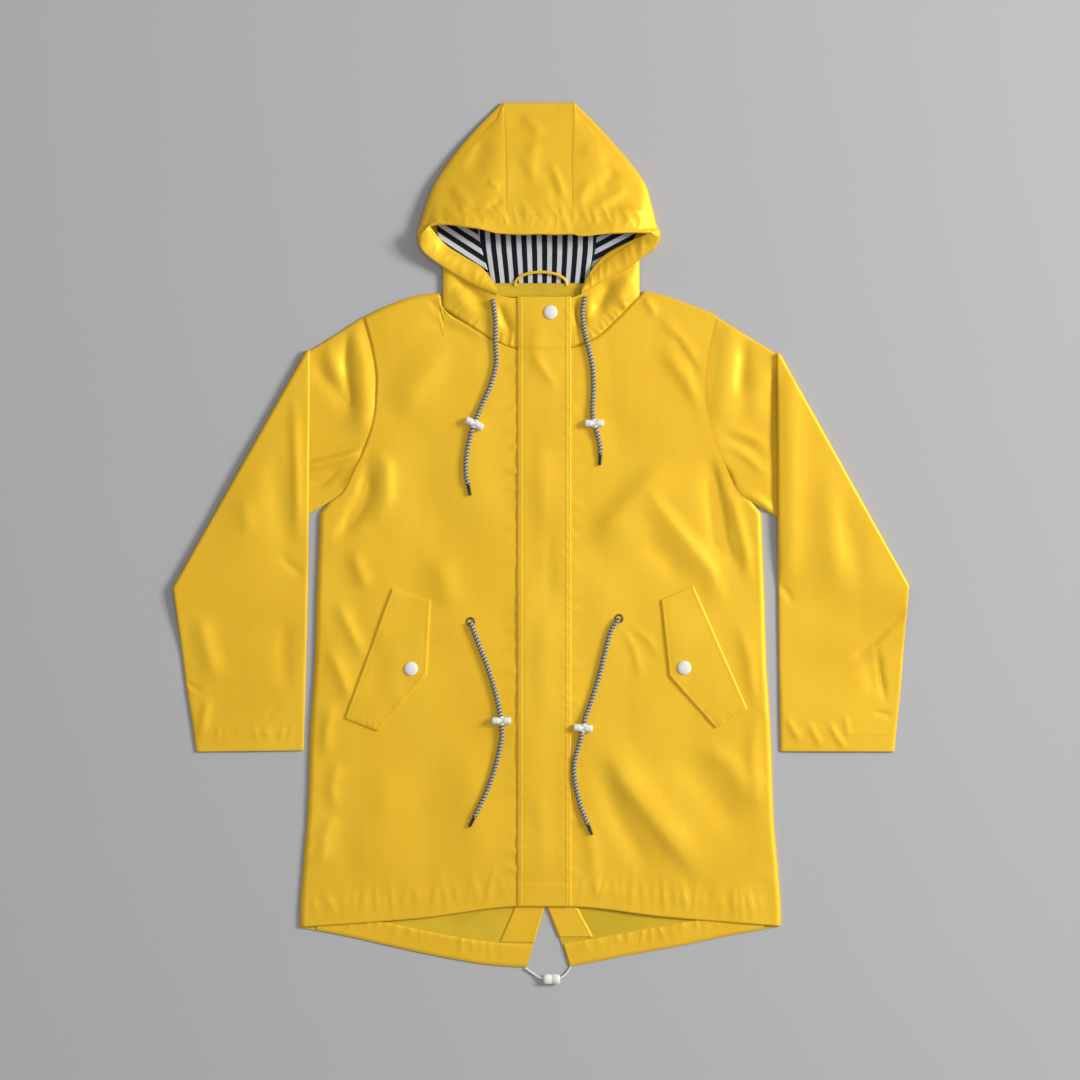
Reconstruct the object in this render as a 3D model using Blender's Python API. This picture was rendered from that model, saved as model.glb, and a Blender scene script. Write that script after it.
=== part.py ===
"""Hooded raincoat laid face up on a flat surface, its sleeves folded down beside the body.

+Y runs to the top of the hood, +X to the right of the coat as it lies, +Z up. The cloth rests on z = 0
and the origin is under the middle of the coat. All sizes are in metres. Each piece that a maker cuts,
sews on or threads is one object. Layers lie on each other, and neighbours stay a seam gap apart.
"""

import math

import bpy
import numpy as np

# Cloth and stacking.
CLOTH = 0.0012
LINING_CLOTH = 0.0010
SEAM_GAP = 0.0003
FLAP_GAP = 0.0006
CURVED_SEAM_GAP = 0.0010
FLAP_CLOTH = 0.0015
BODY_LIFT = 0.0040
SIDE_LIFT = CLOTH + SEAM_GAP
ARMHOLE_LIFT = 0.0020
EDGE_SLOPE = 0.022

# Sleeve: a flattened tube folded back over itself along the line from fold corner to elbow corner.
SLEEVE_HALF = 0.0016
SLEEVE_EDGE = 0.0045
FOLD_RADIUS = 0.0021
FOLD_CORNER = (0.2874, 0.2196)
ELBOW_CORNER = (0.4422, -0.0720)
CUFF_INNER = (0.2855, -0.2580)
CUFF_OUTER = (0.4165, -0.2560)
UNDERARM = (0.2545, 0.0380)
INNER_EDGE_BOW = 0.0045
SLEEVE_DROP = 0.034

# Front closure and trims.
CLOSURE_X = 0.0100
PLACKET_LEFT = -0.0276
PLACKET_RIGHT = 0.0366
PLACKET_TOP = 0.2856
PLACKET_BOTTOM = -0.4450
SNAP_DIAMETER = 0.0165
SNAP_HEIGHT = 0.0024
CORD_DIAMETER = 0.0056
CORD_GAP = 0.0008
TOGGLE_RISE = 0.0002
ELASTIC_DIAMETER = 0.0022
ELASTIC_LIFT = 0.0004
ELASTIC_GAP = 0.0018
TOGGLE_LENGTH = 0.0230
TOGGLE_DIAMETER = 0.0088
HEM_TOGGLE_SIZE = (0.0200, 0.0120, 0.0075)
AGLET_LENGTH = 0.0130
AGLET_DIAMETER = 0.0036
EYELET_OUTER = 0.0056
EYELET_INNER = 0.0036
EYELET_HEIGHT = 0.0009
LOOP_HALF_WIDTH = 0.0022
LOOP_THICKNESS = 0.0014
LOOP_CENTRE = (0.0005, 0.2985)
LOOP_REACH = (0.0310, 0.0165)
LOOP_RISE = 0.0026
NECK_FACING_X = (-0.0590, 0.0560)
NECK_FACING_Y = (0.2862, 0.3016)

# Press studs: cap name, place, and whether it is on the placket or on a pocket flap.
SNAPS = (
    ("snap_cap_neck", (0.0120, 0.2665), "placket"),
    ("snap_cap_pocket_left", (-0.1550, -0.1600), "flap"),
    ("snap_cap_pocket_right", (0.1720, -0.1590), "flap"),
)

# Half width of the body: y, half width. Armhole above the underarm, side seam below it.
BODY_WIDTH = (
    (-0.4720, 0.2880),
    (-0.4560, 0.2885),
    (-0.4000, 0.2850),
    (-0.3400, 0.2800),
    (-0.2300, 0.2760),
    (-0.1500, 0.2710),
    (-0.0800, 0.2690),
    (0.0000, 0.2660),
    (0.0240, 0.2650),
    (0.0380, 0.2545),
    (0.0500, 0.2380),
    (0.0780, 0.2240),
    (0.1000, 0.2130),
    (0.1250, 0.2040),
    (0.1560, 0.1980),
    (0.1860, 0.1965),
    (0.2200, 0.2010),
    (0.2620, 0.2114),
)

# Edges of the fronts: x, y.
SHOULDER_LEFT = ((-0.2114, 0.2620), (-0.1818, 0.2760), (-0.1446, 0.2880), (-0.1210, 0.2905))
SHOULDER_RIGHT = ((0.1240, 0.2925), (0.1458, 0.2880), (0.1806, 0.2760), (0.2114, 0.2640))
NECK_SEAM_LEFT = (
    (-0.1170, 0.2725),
    (-0.0890, 0.2530),
    (-0.0590, 0.2350),
    (-0.0310, 0.2240),
    (CLOSURE_X, 0.2215),
)
NECK_SEAM_RIGHT = (
    (CLOSURE_X, 0.2215),
    (0.0330, 0.2240),
    (0.0640, 0.2350),
    (0.0930, 0.2600),
    (0.1190, 0.2865),
)
BACK_NECK = ((-0.1170, 0.2850), (0.1190, 0.2850))
FRONT_HEM = ((-0.2880, -0.4700), (-0.1500, -0.4600), (-0.0160, -0.4450), (0.0366, -0.4455), (0.1500, -0.4580),
             (0.2890, -0.4690))

# Lower edge of the back, a curved tail split by the vent: x, y.
TAIL = (
    (-0.2880, -0.4710),
    (-0.2380, -0.4800),
    (-0.1840, -0.4920),
    (-0.1290, -0.5040),
    (-0.0560, -0.5160),
    (-0.0162, -0.5184),
    (0.0066, -0.4440),
    (0.0354, -0.5160),
    (0.0430, -0.5160),
    (0.1050, -0.5040),
    (0.1710, -0.4920),
    (0.2290, -0.4800),
    (0.2890, -0.4690),
)
BACK_HEM_DEPTH = 0.027
VENT_FACING_WIDTH = 0.042
VENT_FACING_TOP = -0.436

# Largest folds of the fronts: start x, y, end x, y, half width, height. A trough has a negative height.
FRONT_FOLDS = (
    (-0.2080, 0.0820, -0.2520, -0.0060, 0.0120, -0.0024),
    (-0.1860, 0.0900, -0.2140, 0.0000, 0.0130, 0.0026),
    (-0.1200, 0.2220, -0.1740, 0.1380, 0.0160, 0.0020),
    (-0.1390, 0.2700, -0.0730, 0.2280, 0.0110, -0.0020),
    (-0.2560, -0.1000, -0.2480, -0.3900, 0.0170, 0.0020),
    (0.2260, 0.0780, 0.2400, -0.0540, 0.0120, -0.0024),
    (0.1480, 0.0780, 0.0600, -0.0300, 0.0180, 0.0030),
    (0.0840, -0.2580, 0.1430, -0.3540, 0.0180, 0.0034),
    (0.1430, -0.3540, 0.2160, -0.4380, 0.0180, 0.0034),
    (0.0640, -0.2900, 0.1700, -0.4380, 0.0140, -0.0022),
    (0.1500, 0.2700, 0.1800, 0.2300, 0.0120, -0.0018),
)

# Pocket flap corners: x, y from the top corner beside the side seam round to the slanted edge.
FLAP_LEFT = (
    (-0.1776, -0.0640),
    (-0.1316, -0.0782),
    (-0.1362, -0.1678),
    (-0.1945, -0.2344),
    (-0.2342, -0.2195),
)
FLAP_RIGHT = (
    (0.1831, -0.0610),
    (0.1445, -0.0778),
    (0.1543, -0.1688),
    (0.2101, -0.2316),
    (0.2480, -0.2090),
)

# Hood side from crown to neck: outer fold x, y, end of the upper layer x, y, end of the lower layer x, y,
# height at the outer fold, height at the end of the upper layer.
HOOD_SIDE_LEFT = (
    (-0.0480, 0.5150, -0.0446, 0.5120, -0.0446, 0.5120, 0.0048, 0.0050),
    (-0.0714, 0.4920, -0.0432, 0.4780, -0.0440, 0.4780, 0.0070, 0.0110),
    (-0.0930, 0.4680, -0.0420, 0.4400, -0.0436, 0.4450, 0.0095, 0.0170),
    (-0.1110, 0.4440, -0.0418, 0.4000, -0.0430, 0.4150, 0.0115, 0.0220),
    (-0.1266, 0.4200, -0.0420, 0.3625, -0.0424, 0.3900, 0.0130, 0.0250),
    (-0.1362, 0.3960, -0.0790, 0.3670, -0.0424, 0.3650, 0.0145, 0.0260),
    (-0.1434, 0.3720, -0.1190, 0.3710, -0.0424, 0.3400, 0.0155, 0.0220),
    (-0.1470, 0.3600, -0.1340, 0.3680, -0.0424, 0.3250, 0.0155, 0.0185),
    (-0.1420, 0.3420, -0.1360, 0.3500, -0.0424, 0.3120, 0.0120, 0.0130),
    (-0.1215, 0.3230, -0.1160, 0.3300, -0.0424, 0.3000, 0.0050, 0.0050),
    (-0.1160, 0.2990, -0.1120, 0.2990, -0.0424, 0.2870, 0.0040, 0.0040),
)
HOOD_SIDE_RIGHT = (
    (0.0430, 0.5150, 0.0396, 0.5120, 0.0396, 0.5120, 0.0048, 0.0050),
    (0.0666, 0.4920, 0.0384, 0.4780, 0.0390, 0.4780, 0.0070, 0.0110),
    (0.0882, 0.4680, 0.0376, 0.4400, 0.0386, 0.4450, 0.0095, 0.0170),
    (0.1086, 0.4440, 0.0380, 0.4000, 0.0384, 0.4150, 0.0115, 0.0220),
    (0.1254, 0.4200, 0.0400, 0.3585, 0.0384, 0.3900, 0.0130, 0.0250),
    (0.1326, 0.3960, 0.0890, 0.3600, 0.0384, 0.3650, 0.0145, 0.0260),
    (0.1386, 0.3720, 0.1140, 0.3610, 0.0384, 0.3400, 0.0155, 0.0220),
    (0.1430, 0.3600, 0.1310, 0.3610, 0.0384, 0.3250, 0.0155, 0.0185),
    (0.1370, 0.3440, 0.1300, 0.3500, 0.0384, 0.3120, 0.0120, 0.0130),
    (0.1220, 0.3310, 0.1170, 0.3350, 0.0384, 0.3000, 0.0050, 0.0050),
    (0.1180, 0.3000, 0.1140, 0.3000, 0.0384, 0.2880, 0.0040, 0.0040),
)
HOOD_FOLD_DEPTH = 0.009

# Hood centre panel: y, x of the left seam, x of the right seam, height of the upper layer.
HOOD_CENTRE = (
    (0.5120, -0.0438, 0.0388, 0.0050),
    (0.4780, -0.0424, 0.0376, 0.0110),
    (0.4400, -0.0412, 0.0368, 0.0170),
    (0.4000, -0.0410, 0.0372, 0.0220),
    (0.3590, -0.0412, 0.0392, 0.0250),
)
HOOD_BACK_STRIP = (-0.0414, 0.0374)
HOOD_CROWN_Y = 0.5184
HOOD_BACK_Y = 0.2854

# Turned hem of the face opening: outer x, y, z then inner x, y, z of its upper face.
RIM_LEFT = (
    (-0.1440, 0.3570, 0.0212, -0.1325, 0.3685, 0.0219),
    (-0.1410, 0.3400, 0.0170, -0.1150, 0.3490, 0.0090),
    (-0.1170, 0.3210, 0.0120, -0.0890, 0.3320, 0.0070),
    (-0.0850, 0.3020, 0.0095, -0.0690, 0.3190, 0.0080),
    (-0.0530, 0.2870, 0.0092, -0.0520, 0.2960, 0.0088),
)
RIM_RIGHT = (
    (0.1415, 0.3550, 0.0205, 0.1290, 0.3604, 0.0208),
    (0.1360, 0.3440, 0.0170, 0.0990, 0.3480, 0.0090),
    (0.1080, 0.3210, 0.0120, 0.0760, 0.3350, 0.0070),
    (0.0840, 0.3080, 0.0095, 0.0610, 0.3180, 0.0080),
    (0.0490, 0.2885, 0.0092, 0.0500, 0.2975, 0.0088),
)

# Lower hood beside the neck, upper layer: x, y of the neck seam, y of the end under the turned hem.
NECK_PART_LEFT = (
    (-0.1168, 0.2724, 0.2960),
    (-0.1105, 0.2680, 0.2960),
    (-0.1095, 0.2673, 0.3120),
    (-0.0890, 0.2530, 0.3070),
    (-0.0590, 0.2350, 0.2930),
    (-0.0500, 0.2314, 0.2840),
    (-0.0310, 0.2240, 0.2835),
    (CLOSURE_X - SEAM_GAP, 0.2215, 0.2835),
)
NECK_PART_RIGHT = (
    (CLOSURE_X + SEAM_GAP, 0.2215, 0.2835),
    (0.0330, 0.2240, 0.2835),
    (0.0480, 0.2293, 0.2850),
    (0.0640, 0.2350, 0.3000),
    (0.0930, 0.2600, 0.3140),
    (0.1105, 0.2778, 0.3200),
    (0.1120, 0.2794, 0.2975),
    (0.1188, 0.2863, 0.2975),
)

# Striped lining of the hood where the opening shows it: y, left edge x, right edge x.
LINING_CENTRE = (
    (0.3020, -0.0590, 0.0560),
    (0.3120, -0.0615, 0.0585),
    (0.3220, -0.0645, 0.0610),
    (0.3340, -0.0680, 0.0640),
    (0.3490, -0.0720, 0.0665),
    (0.3700, -0.0750, 0.0680),
    (0.4000, -0.0720, 0.0660),
    (0.4500, -0.0600, 0.0560),
)
LINING_LEFT = (
    (0.3140, -0.0660, -0.0625),
    (0.3220, -0.0760, -0.0649),
    (0.3340, -0.0930, -0.0684),
    (0.3490, -0.1170, -0.0724),
    (0.3700, -0.1240, -0.0754),
    (0.4000, -0.1180, -0.0724),
    (0.4500, -0.0860, -0.0604),
)
LINING_RIGHT = (
    (0.3140, 0.0595, 0.0625),
    (0.3220, 0.0614, 0.0680),
    (0.3340, 0.0644, 0.0780),
    (0.3490, 0.0669, 0.1040),
    (0.3700, 0.0684, 0.1180),
    (0.4000, 0.0664, 0.1140),
    (0.4500, 0.0564, 0.0820),
)

# Routes of the cords over the coat: x, y.
HOOD_CORD_LEFT = (
    (-0.0571, 0.2819), (-0.0538, 0.2570), (-0.0538, 0.2300), (-0.0529, 0.2065), (-0.0589, 0.1813),
    (-0.0690, 0.1577), (-0.0774, 0.1375), (-0.0841, 0.1174), (-0.0883, 0.0955), (-0.0892, 0.0754),
    (-0.0866, 0.0601),
)
HOOD_CORD_RIGHT = (
    (0.0532, 0.2850), (0.0503, 0.2664), (0.0524, 0.2460), (0.0569, 0.2272), (0.0612, 0.2083),
    (0.0634, 0.1894), (0.0634, 0.1705), (0.0624, 0.1500), (0.0640, 0.1350), (0.0682, 0.1210),
    (0.0716, 0.1051), (0.0716, 0.0965),
)
WAIST_CORD_LEFT = (
    (-0.0839, -0.1039), (-0.0746, -0.1288), (-0.0631, -0.1586), (-0.0540, -0.1884), (-0.0482, -0.2137),
    (-0.0460, -0.2366), (-0.0494, -0.2597), (-0.0575, -0.2894), (-0.0678, -0.3148), (-0.0792, -0.3377),
)
WAIST_CORD_RIGHT = (
    (0.0940, -0.1001), (0.0844, -0.1150), (0.0774, -0.1402), (0.0706, -0.1678), (0.0614, -0.1976),
    (0.0534, -0.2206), (0.0476, -0.2458), (0.0407, -0.2734), (0.0419, -0.2986), (0.0487, -0.3262),
    (0.0568, -0.3468),
)
HEM_ELASTIC = (
    (-0.0185, -0.5193), (-0.0110, -0.5245), (-0.0030, -0.5298), (0.0050, -0.5318), (0.0134, -0.5321),
    (0.0218, -0.5315), (0.0290, -0.5275), (0.0340, -0.5215), (0.0365, -0.5175),
)
HEM_TOGGLE_PLACE = (0.0134, -0.5324)

YELLOW = (0.86, 0.50, 0.025, 1.0)
YELLOW_INSIDE = (0.62, 0.40, 0.03, 1.0)
STRIPED = (0.62, 0.62, 0.64, 1.0)
WHITE = (0.80, 0.80, 0.76, 1.0)
BLACK = (0.02, 0.02, 0.025, 1.0)
CORD_GREY = (0.25, 0.25, 0.26, 1.0)
METAL = (0.55, 0.53, 0.50, 1.0)


def clear_scene():
    """Removes every object of the scene."""
    for item in list(bpy.data.objects):
        bpy.data.objects.remove(item, do_unlink=True)


def make_material(name, color, roughness, metallic=0.0):
    """Makes a Principled material of one colour."""
    material = bpy.data.materials.new(name)
    material.use_nodes = True
    shader = material.node_tree.nodes["Principled BSDF"]
    shader.inputs["Base Color"].default_value = color
    shader.inputs["Roughness"].default_value = roughness
    shader.inputs["Metallic"].default_value = metallic
    return material


def place(name, mesh, color, roughness=0.45, metallic=0.0):
    """Links a mesh or curve as the object and material of this name."""
    item = bpy.data.objects.new(name, mesh)
    mesh.materials.append(make_material(name, color, roughness, metallic))
    bpy.context.scene.collection.objects.link(item)
    return item


def ease(t):
    """Smooth step from 0 to 1."""
    t = np.clip(t, 0.0, 1.0)
    return t * t * (3.0 - 2.0 * t)


def column(table, index):
    """One named column of a table, as an array."""
    return np.array([row[index] for row in table])


def spaced(table, count):
    """The table's rows resampled to count rows on a smooth curve through them."""
    rows = np.array(table, float)
    steps = np.linspace(0, len(rows) - 1, count)
    low = np.clip(steps.astype(int), 0, len(rows) - 2)
    t = (steps - low)[:, None]
    padded = np.vstack([2 * rows[0] - rows[1], rows, 2 * rows[-1] - rows[-2]])
    a, b, c, d = (padded[low + k] for k in range(4))
    square = 2 * a - 5 * b + 4 * c - d
    cube = 3 * b - a - 3 * c + d
    return 0.5 * (2 * b + (c - a) * t + square * t**2 + cube * t**3)


def halved(table):
    """The table's rows with one more row midway between each two."""
    rows = np.array(table, float)
    result = np.empty((2 * len(rows) - 1, rows.shape[1]))
    result[::2] = rows
    result[1::2] = (rows[1:] + rows[:-1]) / 2
    return result


def body_half_width(y):
    """Half width of the body at a height y: the armhole above the underarm, the side seam below it."""
    return np.interp(y, column(BODY_WIDTH, 0), column(BODY_WIDTH, 1))


def fold_height(folds, x, y):
    """Summed height of straight soft folds at x, y, fading out at both ends of each."""
    total = np.zeros(np.shape(x))
    for x0, y0, x1, y1, width, height in folds:
        length = math.hypot(x1 - x0, y1 - y0)
        along = ((x - x0) * (x1 - x0) + (y - y0) * (y1 - y0)) / length
        across = ((x - x0) * (y1 - y0) - (y - y0) * (x1 - x0)) / length
        fade = ease(along / (0.3 * length) + 0.5) * ease((length - along) / (0.3 * length) + 0.5)
        total = total + height * fade * np.exp(-((across / width) ** 2))
    return total


def front_edge_y(x):
    """Upper edge of the fronts: shoulders and neck seam."""
    line = SHOULDER_LEFT + NECK_SEAM_LEFT + NECK_SEAM_RIGHT[1:] + SHOULDER_RIGHT
    return np.interp(x, column(line, 0), column(line, 1))


def back_edge_y(x):
    """Upper edge of the back: shoulders and the back of the neck."""
    line = SHOULDER_LEFT + BACK_NECK + SHOULDER_RIGHT
    return np.interp(x, column(line, 0), column(line, 1))


def front_under(x, y):
    """Height of the under face of the fronts above the surface the coat lies on."""
    to_side = body_half_width(y) - np.abs(x)
    to_shoulder = np.where(np.abs(x) > 0.118, front_edge_y(x) - y, 1.0)
    inside = ease(np.minimum(to_side, to_shoulder) / EDGE_SLOPE)
    at_armhole = ease((y - UNDERARM[1]) / 0.03) * (to_side < to_shoulder)
    edge = SIDE_LIFT + (ARMHOLE_LIFT - SIDE_LIFT) * at_armhole
    height = edge + (BODY_LIFT - edge) * inside + inside * fold_height(FRONT_FOLDS, x, y)
    return np.maximum(height, edge)


def front_top(x, y):
    """Height of the upper face of the fronts."""
    return front_under(x, y) + CLOTH


def wall(name, outer, inner, color, ring=False):
    """Closed solid between two grids of points, rows by columns. A ring joins its last column to its first.

    Within it, corner(row, step) is the number of the point at that row and column.
    """
    outer = np.asarray(outer, float)
    inner = np.asarray(inner, float)
    rows, columns = outer.shape[:2]
    count = rows * columns
    faces = []

    def corner(row, step):
        return row * columns + step % columns

    for row in range(rows - 1):
        for step in range(columns if ring else columns - 1):
            quad = [corner(row, step), corner(row, step + 1)]
            quad += [corner(row + 1, step + 1), corner(row + 1, step)]
            faces.append(quad)
            faces.append([count + index for index in reversed(quad)])
    first = [corner(0, step) for step in range(columns)]
    last = [corner(rows - 1, step) for step in range(columns)]
    if ring:
        first.append(corner(0, 0))
        last.append(corner(rows - 1, 0))
    borders = [first, last[::-1]]
    if not ring:
        right = [corner(row, columns - 1) for row in range(1, rows)]
        left = [corner(row, 0) for row in range(rows - 2, -1, -1)]
        borders = [first + right + last[-2::-1] + left]
    for border in borders:
        for a, b in zip(border, border[1:]):
            faces.append([b, a, count + a, count + b])
    mesh = bpy.data.meshes.new(name)
    points = np.vstack([outer.reshape(-1, 3), inner.reshape(-1, 3)])
    mesh.from_pydata(points.tolist(), [], faces)
    mesh.validate()
    turn_outwards(mesh)
    mesh.shade_smooth()
    mesh.set_sharp_from_angle(angle=math.radians(40))
    return place(name, mesh, color)


def turn_outwards(mesh):
    """Flips every face of a closed mesh when its signed volume says that it is inside out."""
    mesh.calc_loop_triangles()
    points = np.array([vertex.co[:] for vertex in mesh.vertices])
    corners = points[np.array([triangle.vertices[:] for triangle in mesh.loop_triangles])]
    if np.linalg.det(corners).sum() < 0:
        mesh.flip_normals()


def sheet(name, x, y, under, thickness, color):
    """Height-field piece: grids of x and y, the height of its under face, and its thickness."""
    outer = np.dstack([x, y, under + thickness])
    inner = np.dstack([x, y, under])
    return wall(name, outer, inner, color)


def body_grid(upper, lower, columns, rows):
    """Grid over the body from a lower edge to an upper edge. A column keeps its share of the half width."""
    share = np.asarray(columns, float)
    at_shoulder = BODY_WIDTH[-1][1]
    at_hem = BODY_WIDTH[1][1]
    y_low = np.interp(share * at_hem, column(lower, 0), column(lower, 1))
    y_high = upper(share * at_shoulder)
    t = np.asarray(rows)[:, None]
    y = y_low[None, :] * (1 - t) + y_high[None, :] * t
    reach = np.abs(share[None, :]) ** (1 + 7 * ease((y - 0.02) / 0.18))
    x = share[None, :] * at_shoulder + np.sign(share[None, :]) * reach * (body_half_width(y) - at_shoulder)
    return x, y


def body_rows():
    """Rows up the body, closer together at the armholes."""
    return np.concatenate([np.linspace(0.0, 0.64, 12), np.linspace(0.68, 1.0, 10)])


def make_back():
    """Back panel, flat on the surface, its tail split by the vent."""
    shares = [x / BODY_WIDTH[1][1] for x in column(TAIL, 0)[1:-1]]
    shares = sorted(shares + [x / BODY_WIDTH[-1][1] for x in column(SHOULDER_LEFT + SHOULDER_RIGHT, 0)])
    rows = body_rows()
    x, y = body_grid(back_edge_y, TAIL, shares, np.concatenate([rows[:10:3], rows[10:]]))
    sheet("back", x, y, np.zeros(x.shape), CLOTH, YELLOW)


def tail_y(x):
    """Curve of the tail without the vent."""
    line = TAIL[:6] + TAIL[7:]
    return np.interp(x, column(line, 0), column(line, 1))


def make_back_hems():
    """Turned-up hem on each side of the vent, lying on the inside of the back."""
    for name, start, end in (("back_hem_left", -0.268, -0.0165), ("back_hem_right", 0.0360, 0.268)):
        along = np.linspace(start, end, 13)
        t = np.linspace(0.0, 1.0, 3)[:, None]
        lower = tail_y(along) + 0.0008
        y = lower[None, :] * (1 - t) + (lower + BACK_HEM_DEPTH)[None, :] * t
        slant = 0.0078 if start < 0 else -0.0078
        if start < 0:
            share = ease((along - start) / (end - start) * 4 - 3)
        else:
            share = ease(1 - (along - start) / 0.06)
        x = along[None, :] + slant * share[None, :] * t
        sheet(name, x, y, np.full(x.shape, SIDE_LIFT), LINING_CLOTH, YELLOW_INSIDE)


def make_vent_facings():
    """Facing along each edge of the vent, from under the front hem down to the turned-up hem."""
    apex_x, apex_y = TAIL[6]
    for name, foot, side in (("vent_facing_left", TAIL[5], -1), ("vent_facing_right", TAIL[7], 1)):
        low_y = tail_y(foot[0] + side * VENT_FACING_WIDTH) + BACK_HEM_DEPTH + 0.0020
        y = np.linspace(low_y, VENT_FACING_TOP, 5)
        slope = (foot[0] - apex_x) / (foot[1] - apex_y)
        edge_x = apex_x + np.minimum(y - apex_y, 0.0) * slope + side * 0.0006
        far_x = edge_x + side * VENT_FACING_WIDTH * (1 - 0.12 * ease((y - apex_y + 0.05) / 0.05))
        t = np.linspace(0.0, 1.0, 4)[None, :]
        x = edge_x[:, None] * (1 - t) + far_x[:, None] * t
        y = np.repeat(y[:, None], 4, axis=1)
        sheet(name, x, y, np.full(x.shape, SIDE_LIFT), LINING_CLOTH, YELLOW_INSIDE)


def make_fronts():
    """Left and right fronts, lying on the back and rising a little between their edges."""
    spans = (
        ("front_left", SHOULDER_LEFT + NECK_SEAM_LEFT, -1),
        ("front_right", NECK_SEAM_RIGHT + SHOULDER_RIGHT, 1),
    )
    for name, edge, side in spans:
        shares = column(edge, 0) / BODY_WIDTH[-1][1]
        extra = np.array((0.08, 0.36, 0.49, 0.78, 0.93, 0.975)) * side
        x, y = body_grid(front_edge_y, FRONT_HEM, np.sort(np.concatenate([shares, extra])), body_rows())
        closure = -1 if side < 0 else 0
        x[:, closure] = CLOSURE_X + side * SEAM_GAP
        sheet(name, x, y, front_under(x, y), CLOTH, YELLOW)


def neck_under(x, y, seam_y):
    """Height of the under face of the lower hood beside the neck."""
    above = ease((y - seam_y) / 0.05)
    outer = ease((0.1205 - np.abs(x)) / 0.012)
    return SIDE_LIFT + (BODY_LIFT + 0.0022 * above - SIDE_LIFT) * outer


def make_neck_parts():
    """Lower hood on each side, from the neck seam up to where it passes under the turned hem."""
    for name, table in (("hood_neck_left", NECK_PART_LEFT), ("hood_neck_right", NECK_PART_RIGHT)):
        rows = halved(table)
        t = np.linspace(0.0, 1.0, 5)[:, None]
        x = np.repeat(rows[None, :, 0], 5, axis=0)
        seam_y = rows[None, :, 1] + CURVED_SEAM_GAP
        y = seam_y * (1 - t) + rows[None, :, 2] * t
        sheet(name, x, y, neck_under(x, y, seam_y), CLOTH, YELLOW)


def placket_under(x, y):
    """Under face of the placket: on the fronts, and on the lower hood above the neck seam."""
    seam = NECK_SEAM_LEFT + NECK_SEAM_RIGHT[1:]
    seam_y = np.interp(x, column(seam, 0), column(seam, 1))
    on_neck = neck_under(x, np.maximum(y, seam_y), seam_y)
    return np.where(y > seam_y, on_neck, front_under(x, y)) + CLOTH + FLAP_GAP


def make_placket():
    """Storm flap over the closure."""
    t = np.linspace(0.0, 1.0, 5)
    y = np.linspace(PLACKET_BOTTOM, PLACKET_TOP, 25)
    x, y = np.meshgrid(PLACKET_LEFT + t * (PLACKET_RIGHT - PLACKET_LEFT), y)
    sheet("placket", x, y, placket_under(x, y), FLAP_CLOTH, YELLOW)


def make_pocket_flaps():
    """Five-sided flap on each front."""
    for name, corners in (("pocket_flap_left", FLAP_LEFT), ("pocket_flap_right", FLAP_RIGHT)):
        a, b, c, d, e = (np.array(corner) for corner in corners)
        upright = [b + (c - b) * share for share in np.linspace(0, 1, 5)]
        slanted = [c + (d - c) * share for share in np.linspace(0, 1, 5)[1:]]
        inner = np.vstack(upright + slanted)
        outer = np.vstack([a + (e - a) * share for share in np.linspace(0, 1, len(inner))])
        t = np.linspace(0.0, 1.0, 5)[None, :, None]
        grid = outer[:, None, :] * (1 - t) + inner[:, None, :] * t
        x, y = grid[..., 0], grid[..., 1]
        sheet(name, x, y, front_top(x, y) + FLAP_GAP, FLAP_CLOTH, YELLOW)


def flat_ring(span, half, inset):
    """Places across one layer of a flattened tube, as shares of the span, and their half heights."""
    edge = SLEEVE_EDGE - inset
    near = np.array([0.0, 0.25, 1.0]) * edge
    rise = half * np.sqrt(1 - (1 - near / edge) ** 2)
    middle = np.linspace(0.15, 0.85, 4) * span
    place_across = np.concatenate([near + inset, middle, span - inset - near[::-1]])
    return place_across / span, np.concatenate([rise, np.full(4, half), rise[::-1]])


def sleeve_ring(upper_edge, lower_edge, bend, centre, side, bulge=None):
    """Outer and inner loops of the flattened tube across one line of the sleeve.

    The line runs from the upper to the lower edge of the sleeve. bend is how far the cloth has turned at the
    fold, 0 to pi, and centre(x, y) gives the height of the middle of the tube.
    """
    a, b = np.array(upper_edge), np.array(lower_edge)
    span = np.linalg.norm(b - a)
    fold = np.array(ELBOW_CORNER) - np.array(FOLD_CORNER)
    out = np.array([-fold[1], fold[0]]) / np.linalg.norm(fold)
    loops = []
    for half, inset in ((SLEEVE_HALF, 0.0), (SLEEVE_HALF - CLOTH, CLOTH)):
        place_across, rise = flat_ring(span, half, inset)
        path = a + (b - a) * place_across[:, None]
        if bulge is not None:
            path = path + bulge(place_across)
        loop = []
        for sign in (1.0, -1.0):
            order = slice(None) if sign > 0 else slice(-2, 0, -1)
            plan = path[order]
            offset = sign * rise[order]
            shift = FOLD_RADIUS * math.sin(bend) - offset * math.sin(bend)
            spot = plan + out * shift[:, None]
            z = centre(plan[:, 0], plan[:, 1]) + FOLD_RADIUS * (1 - math.cos(bend))
            z = z + offset * math.cos(bend)
            loop.append(np.column_stack([side * spot[:, 0], spot[:, 1], z]))
        loops.append(np.vstack(loop))
    return loops


def armhole_bow(share, top, under):
    """Offsets that carry the straight line between shoulder and underarm onto the armhole seam."""

    def bow(place_across):
        """Offset at each share of the line from shoulder to underarm."""
        line_y = top[1] + (under[1] - top[1]) * place_across
        line_x = top[0] + (under[0] - top[0]) * place_across
        seam_x = np.interp(line_y, column(BODY_WIDTH, 0), column(BODY_WIDTH, 1)) + CURVED_SEAM_GAP
        return np.column_stack([(seam_x - line_x) * share, np.zeros(len(line_y))])

    return bow


def upper_arm_edge_distance(x, y):
    """How far a place on the forearm lies beyond the upper arm's underarm edge."""
    line = np.array(ELBOW_CORNER) - np.array(UNDERARM)
    normal = np.array([line[1], -line[0]]) / np.linalg.norm(line)
    return (x - UNDERARM[0]) * normal[0] + (y - UNDERARM[1]) * normal[1]


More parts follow.
